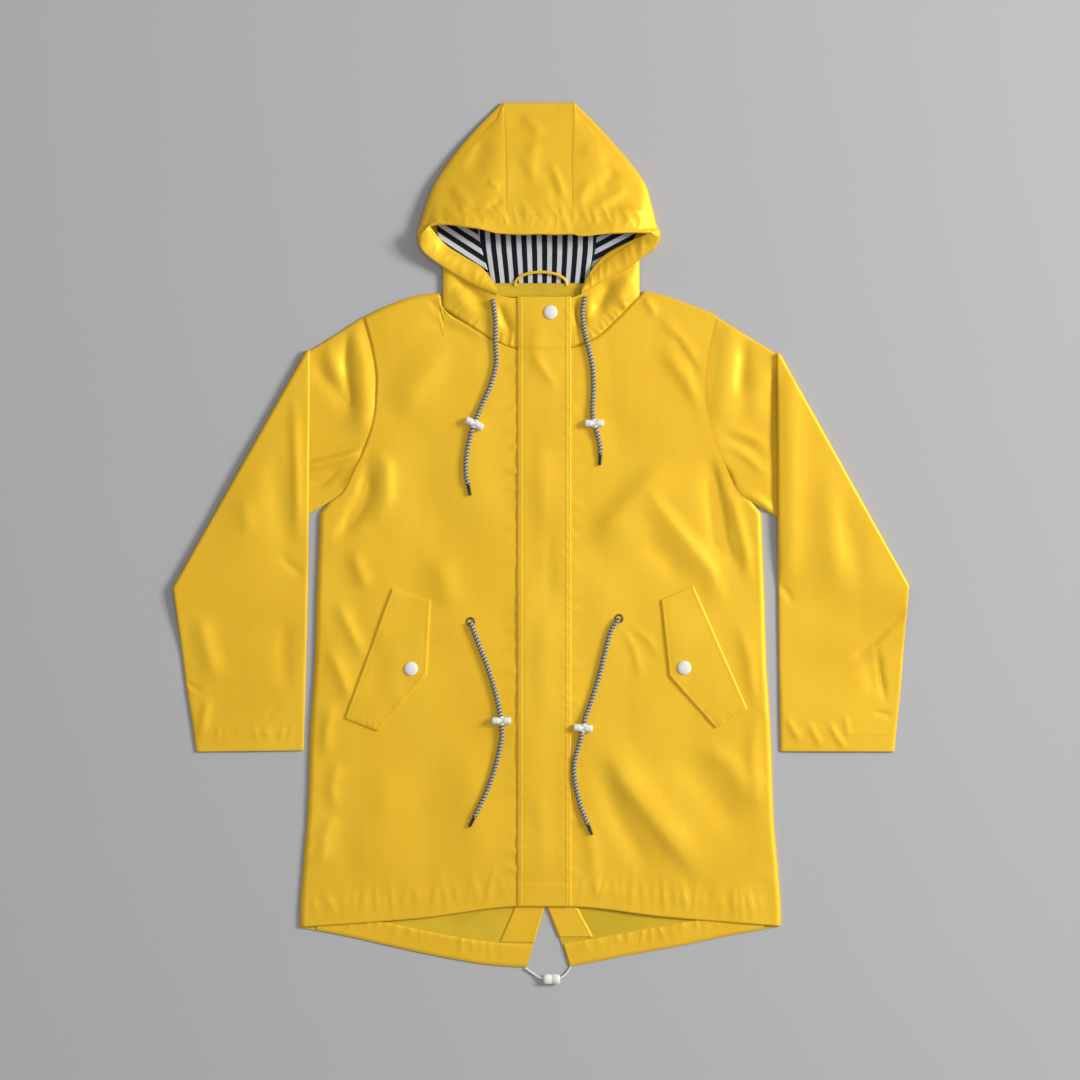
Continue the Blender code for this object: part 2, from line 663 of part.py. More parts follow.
def flat_middle(x, _y):
    """Height of the middle of a tube that lies on the surface."""
    return np.full(len(x), SLEEVE_HALF)


def forearm_middle(x, y):
    """Height of the middle of the forearm, which drops to the surface beyond the upper arm, less the fold."""
    return SLEEVE_HALF - 2 * FOLD_RADIUS * ease(upper_arm_edge_distance(x, y) / SLEEVE_DROP)


def make_sleeves():
    """Flattened sleeves: upper arm out to the diagonal fold, over it, and the forearm down on top."""
    fold = np.array(ELBOW_CORNER) - np.array(FOLD_CORNER)
    out = np.array([-fold[1], fold[0]]) / np.linalg.norm(fold)
    inset = out * (FOLD_RADIUS + SLEEVE_HALF)
    fold_top = np.array(FOLD_CORNER) - inset
    fold_low = np.array(ELBOW_CORNER) - inset
    top = np.array((0.2114 + CURVED_SEAM_GAP, 0.2618))
    under = np.array((UNDERARM[0] + CURVED_SEAM_GAP, UNDERARM[1] + CURVED_SEAM_GAP))
    for name, side in (("sleeve_left", -1), ("sleeve_right", 1)):
        rings = []
        for share in (0.0, 0.18, 0.4, 0.65, 0.88, 1.0):
            a = top + (fold_top - top) * share
            b = under + (fold_low - under) * share
            bulge = armhole_bow((1 - share) ** 1.5, top, under)
            rings.append(sleeve_ring(a, b, 0.0, flat_middle, side, bulge))
        for bend in np.linspace(0, math.pi, 6)[1:-1]:
            rings.append(sleeve_ring(fold_top, fold_low, bend, flat_middle, side))
        for share in (0.0, 0.08, 0.17, 0.26, 0.36, 0.47, 0.6, 0.74, 0.88, 1.0):
            a = fold_top + (np.array(CUFF_INNER) - fold_top) * share
            a = a + np.array([-INNER_EDGE_BOW * math.sin(math.pi * share), 0.0])
            b = fold_low + (np.array(CUFF_OUTER) - fold_low) * share
            rings.append(sleeve_ring(a, b, math.pi, forearm_middle, side))
        outer = [ring[0] for ring in rings]
        inner = [ring[1] for ring in rings]
        wall(name, outer, inner, YELLOW, ring=True)


def path_wall(paths, thickness):
    """Offsets the middle lines of a bent cloth, rows by points by 3, by half its thickness to each side."""
    paths = np.asarray(paths, float)
    along = np.gradient(paths, axis=1)
    across = np.gradient(paths, axis=0)
    normal = np.cross(along, across)
    size = np.linalg.norm(normal, axis=2, keepdims=True)
    normal = normal / np.maximum(size, 1e-12)
    return paths + normal * thickness / 2, paths - normal * thickness / 2


def hood_section(row):
    """Middle line of one section of a hood side: lower layer, outer fold, upper layer."""
    fold, upper, lower = (np.array(row[k : k + 2]) for k in (0, 2, 4))
    fold_height_here, upper_height = row[6], row[7]
    middle = CLOTH / 2
    to_lower = lower - fold
    to_upper = upper - fold
    depth = min(HOOD_FOLD_DEPTH, 0.45 * np.linalg.norm(to_upper), 0.45 * np.linalg.norm(to_lower))
    unit_lower = to_lower / np.linalg.norm(to_lower)
    unit_upper = to_upper / np.linalg.norm(to_upper)
    points = []
    for t in (1.0, 0.72, 0.45, 0.2):
        start = fold + unit_lower * depth
        spot = start + (lower - start) * t
        points.append((spot[0], spot[1], middle))
    for turn in np.linspace(0, math.pi, 7):
        unit = unit_lower * (1 - turn / math.pi) + unit_upper * (turn / math.pi)
        spot = fold + unit * depth * (1 - math.sin(turn))
        z = middle + (fold_height_here - middle) * (1 - math.cos(turn)) / 2
        points.append((spot[0], spot[1], z))
    for t in (0.15, 0.35, 0.6, 0.8, 1.0):
        start = fold + unit_upper * depth
        spot = start + (upper - start) * t
        z = fold_height_here + (upper_height - fold_height_here) * math.sin(t * math.pi / 2)
        points.append((spot[0], spot[1], z))
    return points


def make_hood_sides():
    """Side panels of the hood, folded at the outline, the upper layer ending at centre seam and brim."""
    for name, table in (("hood_side_left", HOOD_SIDE_LEFT), ("hood_side_right", HOOD_SIDE_RIGHT)):
        paths = [hood_section(row) for row in table]
        outer, inner = path_wall(paths, CLOTH)
        for grid in (outer, inner):
            grid[:, (0, -1), :2] = np.asarray(paths)[:, (0, -1), :2]
            grid[..., 2] = np.maximum(grid[..., 2], 0.0)
        wall(name, outer, inner, YELLOW)


def make_hood_centre():
    """Centre panel of the hood: up the back on the surface, over the crown, and down to the brim."""
    rows = spaced(HOOD_CENTRE, 9)
    crown = rows[0]
    middle = CLOTH / 2
    line = [(y, *HOOD_BACK_STRIP, middle) for y in (HOOD_BACK_Y, 0.33, 0.38, 0.43, 0.48)]
    depth = HOOD_CROWN_Y - CLOTH / 2 - crown[0]
    for turn in np.linspace(0, math.pi, 7):
        z = middle + (crown[3] - middle) * (1 - math.cos(turn)) / 2
        line.append((crown[0] + depth * math.sin(turn), crown[1], crown[2], z))
    line += [tuple(row) for row in rows[1:]]
    paths = []
    for t in np.linspace(0, 1, 6):
        paths.append([(left + (right - left) * t, y, z) for y, left, right, z in line])
    outer, inner = path_wall(paths, CLOTH)
    for grid in (outer, inner):
        grid[..., 0] = np.asarray(paths)[..., 0]
        grid[..., 2] = np.maximum(grid[..., 2], 0.0)
    wall("hood_centre", outer, inner, YELLOW)


def make_rims():
    """Turned hem of the face opening on each side."""
    for name, table in (("hood_rim_left", RIM_LEFT), ("hood_rim_right", RIM_RIGHT)):
        rows = spaced(table, 13)
        t = np.linspace(0.0, 1.0, 5)[None, :, None]
        top = rows[:, None, 0:3] * (1 - t) + rows[:, None, 3:6] * t
        top[..., 2] += 0.0012 * np.sin(np.pi * t[..., 0])
        under = top.copy()
        under[..., 2] -= FLAP_CLOTH
        wall(name, top, under, YELLOW)


def make_linings():
    """Striped lining in three parts and the neck facing, on the inside of the hood's back."""
    for name, table in (("hood_lining_centre", LINING_CENTRE), ("hood_lining_left", LINING_LEFT),
                        ("hood_lining_right", LINING_RIGHT)):
        rows = np.array(table)
        t = np.linspace(0.0, 1.0, 4)[None, :]
        x = rows[:, 1:2] * (1 - t) + rows[:, 2:3] * t
        y = np.repeat(rows[:, 0:1], 4, axis=1)
        sheet(name, x, y, np.full(x.shape, SIDE_LIFT), LINING_CLOTH, STRIPED)
    x, y = np.meshgrid(np.linspace(*NECK_FACING_X, 7), np.linspace(*NECK_FACING_Y, 3))
    sheet("neck_facing", x, y, np.full(x.shape, SIDE_LIFT), LINING_CLOTH, YELLOW_INSIDE)


def make_hanger_loop():
    """Flat tape loop, its ends on the neck facing and its bend on the lining."""
    under = SIDE_LIFT + LINING_CLOTH + SEAM_GAP
    centre, reach = np.array(LOOP_CENTRE), np.array(LOOP_REACH)
    rows = []
    for angle in np.linspace(math.pi, 0, 17):
        spot = centre + reach * np.array((math.cos(angle), math.sin(angle) ** 0.8))
        out = np.array((math.cos(angle), math.sin(angle))) / reach
        out = out / np.linalg.norm(out) * LOOP_HALF_WIDTH
        z = under + LOOP_RISE * math.sin(angle)
        rows.append([(*(spot + out * side), z) for side in (1.0, 0.0, -1.0)])
    inner = np.array(rows)
    outer = inner + np.array((0.0, 0.0, LOOP_THICKNESS))
    wall("hanger_loop", outer, inner, YELLOW)


def spun(name, profile, centre, color, roughness=0.3, metallic=0.0, sides=24):
    """Solid turned about a vertical axis from radius and height pairs. A radius of 0 closes a pole."""
    points = []
    rings = []
    for radius, height in profile:
        if radius == 0.0:
            rings.append([len(points)])
            points.append((centre[0], centre[1], centre[2] + height))
            continue
        rings.append(list(range(len(points), len(points) + sides)))
        for k in range(sides):
            angle = math.tau * k / sides
            points.append((centre[0] + radius * math.cos(angle), centre[1] + radius * math.sin(angle),
                           centre[2] + height))
    faces = []
    pairs = list(zip(rings, rings[1:]))
    if profile[0][0] > 0.0:
        pairs.append((rings[-1], rings[0]))
    for low, high in pairs:
        for k in range(sides):
            following = (k + 1) % sides
            if len(low) == 1:
                faces.append([low[0], high[following], high[k]])
            elif len(high) == 1:
                faces.append([low[k], low[following], high[0]])
            else:
                faces.append([low[k], low[following], high[following], high[k]])
    mesh = bpy.data.meshes.new(name)
    mesh.from_pydata(points, [], faces)
    turn_outwards(mesh)
    mesh.shade_smooth()
    mesh.set_sharp_from_angle(angle=math.radians(35))
    return place(name, mesh, color, roughness, metallic)


def highest_under(height_at, centre, radius):
    """Highest point of a surface under a disc, so that a flat piece clears it."""
    angles = np.linspace(0, math.tau, 24)
    xs = np.concatenate([[centre[0]], centre[0] + radius * np.cos(angles)])
    ys = np.concatenate([[centre[1]], centre[1] + radius * np.sin(angles)])
    return float(np.max(height_at(xs, ys)))


def placket_top(x, y):
    """Height of the upper face of the placket."""
    return placket_under(x, y) + FLAP_CLOTH


def flap_top(x, y):
    """Height of the upper face of a pocket flap."""
    return front_top(x, y) + FLAP_GAP + FLAP_CLOTH


def make_snap_caps():
    """Domed caps of the press studs."""
    r = SNAP_DIAMETER / 2
    h = SNAP_HEIGHT
    dome = [(0.0, 0.0), (r, 0.0), (r, 0.4 * h), (0.93 * r, 0.68 * h)]
    dome += [(0.7 * r, 0.9 * h), (0.35 * r, h), (0.0, h)]
    for name, spot, seat in SNAPS:
        height_at = placket_top if seat == "placket" else flap_top
        z = highest_under(height_at, spot, r) + SEAM_GAP
        spun(name, dome, (*spot, z), WHITE)


def make_eyelets():
    """Metal eyelets of the waist cord."""
    ring = [(EYELET_INNER, 0.0), (EYELET_OUTER, 0.0), (EYELET_OUTER - 0.0006, EYELET_HEIGHT),
            (EYELET_INNER + 0.0004, EYELET_HEIGHT)]
    places = (("waist_eyelet_left", WAIST_CORD_LEFT[0]), ("waist_eyelet_right", WAIST_CORD_RIGHT[0]))
    for name, spot in places:
        z = highest_under(front_top, spot, EYELET_OUTER) + SEAM_GAP
        spun(name, ring, (*spot, z), METAL, 0.3, 1.0)


def coat_top(x, y):
    """Height of the upper face of the coat beside the placket, the lower hood above the neck seam."""
    seam = NECK_SEAM_LEFT + NECK_SEAM_RIGHT[1:]
    seam_y = np.interp(x, column(seam, 0), column(seam, 1))
    on_neck = neck_under(x, np.maximum(y, seam_y), seam_y) + CLOTH
    return np.where(y > seam_y, on_neck, front_top(x, y))


def smooth_route(points, count):
    """Evenly spaced places on a smooth curve through a route."""
    dense = spaced(points, 400)
    steps = np.concatenate([[0], np.cumsum(np.linalg.norm(np.diff(dense, axis=0), axis=1))])
    even = np.linspace(0, steps[-1], count)
    return np.column_stack([np.interp(even, steps, dense[:, k]) for k in range(dense.shape[1])])


def tube(name, points, radius, color, bevel_resolution=2):
    """Round cord through the points."""
    curve = bpy.data.curves.new(name, "CURVE")
    curve.dimensions = "3D"
    curve.bevel_depth = radius
    curve.bevel_resolution = bevel_resolution
    curve.use_fill_caps = True
    spline = curve.splines.new("POLY")
    spline.points.add(len(points) - 1)
    for target, spot in zip(spline.points, points):
        target.co = (*spot, 1.0)
    return place(name, curve, color, 0.8)


def rod(name, start, end, profile, color, sides=16):
    """Solid turned about the line from start to end, from share of length and radius pairs."""
    start, end = np.array(start, float), np.array(end, float)
    axis = (end - start) / np.linalg.norm(end - start)
    side = np.cross(axis, (0.0, 0.0, 1.0))
    side = side / np.linalg.norm(side)
    up = np.cross(side, axis)
    points = []
    for share, radius in profile:
        for k in range(sides):
            angle = math.tau * k / sides
            spoke = math.cos(angle) * side + math.sin(angle) * up
            points.append(start + (end - start) * share + radius * spoke)
    faces = [list(range(sides))[::-1], list(range(len(points) - sides, len(points)))]
    for ring in range(len(profile) - 1):
        for k in range(sides):
            following = (k + 1) % sides
            low, high = ring * sides, (ring + 1) * sides
            faces.append([low + k, low + following, high + following, high + k])
    mesh = bpy.data.meshes.new(name)
    mesh.from_pydata([tuple(spot) for spot in points], [], faces)
    turn_outwards(mesh)
    mesh.shade_smooth()
    mesh.set_sharp_from_angle(angle=math.radians(35))
    return place(name, mesh, color, 0.35)


def bore(item, start, end, radius):
    """Cuts a round hole through an object, from start to end."""
    cutter = rod(item.name + "_cutter", start, end, ((0.0, radius), (1.0, radius)), BLACK, 14)
    cutter.hide_render = True
    cutter.display_type = "WIRE"
    cut = item.modifiers.new("Bore", "BOOLEAN")
    cut.operation = "DIFFERENCE"
    cut.object = cutter


# Drawcords: name, route, share of the route at the toggle, tilt of the toggle, on an eyelet.
DRAWCORDS = (
    ("hood_cord_left", HOOD_CORD_LEFT, 0.675, -27.0, False),
    ("hood_cord_right", HOOD_CORD_RIGHT, 0.795, 0.0, False),
    ("waist_cord_left", WAIST_CORD_LEFT, 0.500, 0.0, True),
    ("waist_cord_right", WAIST_CORD_RIGHT, 0.540, -5.0, True),
)


def cord_heights(places, toggle_step, on_eyelet):
    """Height of a cord's middle over the coat, lifted where it passes its toggle and its eyelet."""
    radius = CORD_DIAMETER / 2
    ground = np.max([coat_top(places[:, 0] + dx, places[:, 1] + dy)
                     for dx in (-radius, 0.0, radius) for dy in (-radius, 0.0, radius)], axis=0)
    heights = ground + radius + SEAM_GAP
    steps = np.linalg.norm(places - places[toggle_step], axis=1)
    lift = TOGGLE_DIAMETER / 2 - radius + SEAM_GAP
    heights += lift * (1 - ease((steps - 0.008) / 0.014))
    if on_eyelet:
        from_start = np.linalg.norm(places - places[0], axis=1)
        heights += (EYELET_HEIGHT + SEAM_GAP) * (1 - ease((from_start - 0.007) / 0.008))
    return heights


def make_drawcords():
    """Four drawcords, each with a barrel toggle and an aglet on its free end."""
    radius = CORD_DIAMETER / 2
    for name, route, share, tilt, on_eyelet in DRAWCORDS:
        places = smooth_route(route, 24)
        step = int(round(share * (len(places) - 1)))
        heights = cord_heights(places, step, on_eyelet)
        points = np.column_stack([places, heights])
        tube(name, points, radius, CORD_GREY)
        middle = points[step]
        along = points[step + 1] - points[step - 1]
        along = along / np.linalg.norm(along)
        tilt = math.radians(tilt)
        across = np.array((math.cos(tilt), math.sin(tilt), 0.0)) * TOGGLE_LENGTH / 2
        r = TOGGLE_DIAMETER / 2
        half_barrel = ((0.0, 0.72), (0.03, 0.92), (0.08, 1.0), (0.36, 1.0), (0.39, 0.9))
        barrel = [(at, width * r) for at, width in half_barrel]
        barrel += [(1.0 - at, width) for at, width in reversed(barrel)]
        hub = middle + np.array((0.0, 0.0, TOGGLE_RISE))
        toggle = rod(name.replace("cord", "toggle"), hub - across, hub + across, barrel, WHITE, 14)
        bore(toggle, middle - along * 0.012, middle + along * 0.012, radius + CORD_GAP)
        tip = points[-1] - points[-2]
        tip[2] = 0.0
        tip = tip / np.linalg.norm(tip)
        start = points[-1] + tip * SEAM_GAP
        r = AGLET_DIAMETER / 2
        start[2] -= radius - r - SEAM_GAP
        end = start + tip * AGLET_LENGTH
        ground = max(float(coat_top(np.array(spot[0]), np.array(spot[1]))) for spot in (start, end))
        start[2] = end[2] = max(start[2], ground + r + SEAM_GAP)
        rod(name.replace("cord", "aglet"), start, end, ((0.0, r), (0.8, r), (1.0, 0.7 * r)), BLACK, 12)


def make_hem_cord():
    """Elastic cord across the foot of the vent, held by a cord lock."""
    radius = ELASTIC_DIAMETER / 2
    length, width, height = HEM_TOGGLE_SIZE
    places = smooth_route(HEM_ELASTIC, 22)
    middle_z = height / 2
    off = np.abs(places[:, 0] - HEM_TOGGLE_PLACE[0])
    low = radius + ELASTIC_LIFT
    heights = low + (middle_z - low) * (1 - ease((off - 0.011) / 0.010))
    points = np.column_stack([places, heights])
    tube("hem_elastic", points, radius, WHITE)
    centre = np.array((*HEM_TOGGLE_PLACE, middle_z))
    half = np.array((length / 2, 0.0, 0.0))
    shares = (0.0, 0.04, 0.14, 0.5, 0.86, 0.96, 1.0)
    widths = (0.72, 0.9, 1.0, 1.0, 1.0, 0.9, 0.72)
    profile = [(share, 0.5 * height * wide) for share, wide in zip(shares, widths)]
    lock = rod("hem_toggle", centre - half, centre + half, profile, WHITE, 16)
    for vertex in lock.data.vertices:
        vertex.co.y = centre[1] + (vertex.co.y - centre[1]) * width / height
    middle = centre + np.array((0.0, 0.0006, 0.0))
    bore(lock, middle - half * 1.2, middle + half * 1.2, radius + ELASTIC_GAP)


def main():
    """Clears the scene and makes the coat, from the cloth on the surface up to the cords."""
    clear_scene()
    make_back()
    make_back_hems()
    make_vent_facings()
    make_fronts()
    make_placket()
    make_pocket_flaps()
    make_sleeves()
    make_hood_sides()
    make_hood_centre()
    make_neck_parts()
    make_rims()
    make_linings()
    make_hanger_loop()
    make_snap_caps()
    make_eyelets()
    make_drawcords()
    make_hem_cord()


main()
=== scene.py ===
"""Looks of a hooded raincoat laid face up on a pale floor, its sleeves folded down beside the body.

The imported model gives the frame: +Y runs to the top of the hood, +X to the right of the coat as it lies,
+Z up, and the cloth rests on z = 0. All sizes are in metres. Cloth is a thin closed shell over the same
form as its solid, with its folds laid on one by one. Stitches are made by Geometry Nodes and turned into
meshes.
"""

from __future__ import annotations

import logging
import math
from dataclasses import dataclass, field
from enum import Enum
from typing import Callable, Sequence

import bpy
import numpy as np
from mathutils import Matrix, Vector
from mathutils.bvhtree import BVHTree

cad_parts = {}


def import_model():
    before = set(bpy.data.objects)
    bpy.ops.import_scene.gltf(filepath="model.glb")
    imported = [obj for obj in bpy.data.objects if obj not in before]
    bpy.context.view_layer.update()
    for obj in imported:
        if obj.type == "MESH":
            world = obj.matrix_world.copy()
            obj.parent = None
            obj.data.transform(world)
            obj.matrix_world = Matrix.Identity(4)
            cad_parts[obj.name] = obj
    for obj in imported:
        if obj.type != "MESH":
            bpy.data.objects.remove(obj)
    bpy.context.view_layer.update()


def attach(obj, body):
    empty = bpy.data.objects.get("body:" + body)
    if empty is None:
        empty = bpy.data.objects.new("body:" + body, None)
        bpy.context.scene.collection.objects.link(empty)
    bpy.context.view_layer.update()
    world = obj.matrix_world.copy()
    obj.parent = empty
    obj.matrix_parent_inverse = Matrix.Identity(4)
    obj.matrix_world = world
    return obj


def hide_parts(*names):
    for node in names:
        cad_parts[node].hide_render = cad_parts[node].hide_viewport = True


LOG = logging.getLogger("raincoat")

Array = np.ndarray
Piece = bpy.types.Object
Material = bpy.types.Material
Pair = tuple[float, float]
Triple = tuple[float, float, float]
Sockets = dict[str, object]


class Side(Enum):
    """Side of the coat as it lies, with the sign of its X."""

    LEFT = -1
    RIGHT = 1

    @property
    def word(self) -> str:
        """The side's word in piece names."""
        return self.name.lower()


# Plain maths


def ease(t: Array | float) -> Array:
    """Smooth step.

    Args:
        t: Where to read it. Below 0 gives 0 and above 1 gives 1.

    Returns:
        The step's height, from 0 to 1.
    """
    t = np.clip(t, 0.0, 1.0)
    return t * t * (3.0 - 2.0 * t)


def rounded(t: Array | float) -> Array:
    """Quarter round, steep at 0 and level at 1.

    Args:
        t: Distance in from the edge over the radius.

    Returns:
        The round's height, from 0 to 1.
    """
    t = np.clip(t, 0.0, 1.0)
    return np.sqrt(1.0 - (1.0 - t) ** 2)


def walked(path: Array) -> Array:
    """Distance along a path to each of its places."""
    return np.concatenate([[0.0], np.cumsum(np.linalg.norm(np.diff(path, axis=0), axis=1))])


def between(first: Array | float, second: Array | float, share: Array | float) -> Array:
    """What lies at a share of the way from one thing to another."""
    return first * (1 - share) + second * share


class Line:
    """Smooth curve through pairs of numbers that never overshoots them."""

    def __init__(self, pairs: Sequence[Pair]) -> None:
        """Fits the curve.

        Args:
            pairs: Where and how high, in rising order of where.
        """
        table = np.array(pairs, float)
        self.at, self.value = table[:, 0], table[:, 1]
        rise = np.diff(self.value) / np.diff(self.at)
        product = rise[1:] * rise[:-1]
        total = np.where(product > 0, rise[1:] + rise[:-1], 1.0)
        middle = np.where(product > 0, 2 * product / total, 0.0)
        self.slope = np.concatenate([rise[:1], middle, rise[-1:]])

    def __call__(self, where: Array | float) -> Array:
        """Reads the curve.

        Args:
            where: One place or an array of them, held to the curve's ends.

        Returns:
            The curve's values there.
        """
        where = np.clip(where, self.at[0], self.at[-1])
        low = np.clip(np.searchsorted(self.at, where, side="right") - 1, 0, len(self.at) - 2)
        step = self.at[low + 1] - self.at[low]
        t = (where - self.at[low]) / step
        lift = (1 + 2 * t) * (1 - t) ** 2 * self.value[low] + t * t * (3 - 2 * t) * self.value[low + 1]
        lean = t * (1 - t) ** 2 * self.slope[low] - t * t * (1 - t) * self.slope[low + 1]
        return lift + step * lean


def resampled(rows: Sequence[Sequence[float]], count: int) -> Array:
    """Rows of numbers on a smooth curve through a table's rows.

    Args:
        rows: The table.
        count: How many rows to give back.

    Returns:
        count rows, the first and last as in the table.
    """
    table = np.array(rows, float)
    steps = np.linspace(0, len(table) - 1, count)
    low = np.clip(steps.astype(int), 0, len(table) - 2)
    t = (steps - low)[:, None]
    padded = np.vstack([2 * table[0] - table[1], table, 2 * table[-1] - table[-2]])
    a, b, c, d = (padded[low + k] for k in range(4))
    return 0.5 * (2 * b + (c - a) * t + (2 * a - 5 * b + 4 * c - d) * t**2 + (3 * b - a - 3 * c + d) * t**3)


def even_route(points: Sequence[Sequence[float]], count: int) -> Array:
    """Evenly spaced places on a smooth curve through a route.

    Args:
        points: The route.
        count: How many places.

    Returns:
        The places, one a row.
    """
    dense = resampled(points, 600)
    steps = walked(dense)
    even = np.linspace(0, steps[-1], count)
    return np.column_stack([np.interp(even, steps, dense[:, k]) for k in range(dense.shape[1])])


# Relief of the cloth


def within(line: Array, reach: float, x: Array, y: Array) -> Array:
    """Places inside a line's box grown by a reach."""
    low, high = line.min(axis=0) - reach, line.max(axis=0) + reach
    return (x > low[0]) & (x < high[0]) & (y > low[1]) & (y < high[1])


@dataclass(frozen=True)
class Crease:
    """One soft fold along a line. A trough has a negative height."""

    line: tuple[Pair, ...]
    width: float
    height: float
    sharp: float = 0.0
    lean: float = 0.0
    fade: float = 0.35

    def lift(self, x: Array, y: Array) -> Array:
        """Height that the fold adds.

        Args:
            x: Places across the coat.
            y: Places up the coat.

        Returns:
            Its height at each place.
        """
        total = np.zeros(np.shape(x))
        line = np.array(self.line, float)
        near = within(line, 3.2 * self.width, x, y)
        if not near.any():
            return total
        distance, share = distance_to(line, x[near], y[near])
        tilt = np.where(distance > 0, 1 + self.lean, 1 - self.lean)
        far = np.abs(distance) * tilt / self.width
        profile = (1 - self.sharp) * np.exp(-(far**2)) + self.sharp * np.exp(-1.7 * far)
        ends = ease(share / self.fade) * ease((1 - share) / self.fade)
        total[near] = self.height * ends * profile
        return total


def distance_to(line: Array, x: Array, y: Array) -> tuple[Array, Array]:
    """Signed distance to a bent line and the share of its length at the nearest place.

    Args:
        line: The line's corners.
        x: Places across.
        y: Places up.

    Returns:
        The distance, positive to the left of the line's direction, and the share from 0 to 1.
    """
    before = walked(line)
    best = np.full(x.shape, 1e9)
    share = np.zeros(x.shape)
    for k in range(len(line) - 1):
        length = float(np.linalg.norm(line[k + 1] - line[k]))
        ux, uy = (line[k + 1] - line[k]) / length
        along = np.clip((x - line[k, 0]) * ux + (y - line[k, 1]) * uy, 0, length)
        dx, dy = x - line[k, 0] - along * ux, y - line[k, 1] - along * uy
        size = np.hypot(dx, dy)
        closer = size < np.abs(best)
        side = np.where(ux * dy - uy * dx >= 0, 1.0, -1.0)
        best = np.where(closer, side * size, best)
        share = np.where(closer, (before[k] + along) / before[-1], share)
    return best, share


@dataclass(frozen=True)
class Gathers:
    """Row of short uneven ripples that cross a line, as where a seam draws the cloth in."""

    line: tuple[Pair, ...]
    spacing: float
    height: float
    reach: float
    width: float
    seed: int
    slant: float = 0.0
    one_side: int = 0

    def lift(self, x: Array, y: Array) -> Array:
        """Height that the ripples add.

        Args:
            x: Places across the coat.
            y: Places up the coat.

        Returns:
            Their height at each place.
        """
        total = np.zeros(np.shape(x))
        line = np.array(self.line, float)
        near = within(line, 2 * self.reach, x, y)
        if not near.any():
            return total
        distance, share = distance_to(line, x[near], y[near])
        length = walked(line)[-1]
        place = share * length + self.slant * distance
        chance = np.random.default_rng(self.seed)
        count = max(1, int(length / self.spacing))
        found = np.zeros(place.shape)
        for step in range(count):
            middle = (step + 0.5 + chance.uniform(-0.34, 0.34)) * self.spacing
            width = self.width * chance.uniform(0.6, 1.4)
            height = self.height * chance.uniform(0.35, 1.25)
            reach = self.reach * chance.uniform(0.55, 1.25)
            tilt = chance.uniform(-0.35, 0.35)
            ripple = np.exp(-(((place - middle + tilt * distance) / width) ** 2))
            found += height * ripple * np.exp(-((distance / reach) ** 2))
        if self.one_side:
            found *= ease(self.one_side * distance / 0.002 + 1)
        total[near] = found * ease(share * length / 0.006) * ease((1 - share) * length / 0.006)
        return total


@dataclass(frozen=True)
class Swell:
    """Slow uneven waves over a whole panel."""

    height: float
    shortest: float
    longest: float
    seed: int

    def lift(self, x: Array, y: Array) -> Array:
        """Height of the waves.

        Args:
            x: Places across the coat.
            y: Places up the coat.

        Returns:
            Their height at each place.
        """
        chance = np.random.default_rng(self.seed)
        total = np.zeros(np.shape(x))
        for _ in range(7):
            length = chance.uniform(self.shortest, self.longest)
            angle = chance.uniform(0, math.pi)
            phase = chance.uniform(0, math.tau)
            cosine, sine = math.cos(angle), math.sin(angle)
            bend = 0.3 * np.sin((x * sine - y * cosine) * math.tau / (1.7 * length))
            total += np.sin((x * cosine + y * sine) * math.tau / length + phase + 2 * bend)
        return total * self.height / 3.0


Relief = Sequence[Crease | Gathers | Swell]


def relief_height(relief: Relief, x: Array, y: Array) -> Array:
    """Summed height of folds, gathers and waves.

    Args:
        relief: What lies on the panel.
        x: Places across the coat.
        y: Places up the coat.

    Returns:
        The height at each place.
    """
    x, y = np.broadcast_arrays(np.asarray(x, float), np.asarray(y, float))
    total = np.zeros(x.shape)
    for item in relief:
        total = total + item.lift(x, y)
    return total


# Form of the coat

CLOSURE_X = 0.0100
SHOULDER_LEFT = ((-0.2114, 0.2620), (-0.1818, 0.2760), (-0.1446, 0.2880), (-0.1210, 0.2905))
SHOULDER_RIGHT = ((0.1240, 0.2925), (0.1458, 0.2880), (0.1806, 0.2760), (0.2114, 0.2640))
NECK_SEAM = (
    (-0.1170, 0.2725), (-0.0890, 0.2530), (-0.0590, 0.2350), (-0.0310, 0.2240), (CLOSURE_X, 0.2215),
    (0.0330, 0.2240), (0.0640, 0.2350), (0.0930, 0.2600), (0.1190, 0.2865),
)
UNDERARM = (0.2545, 0.0380)


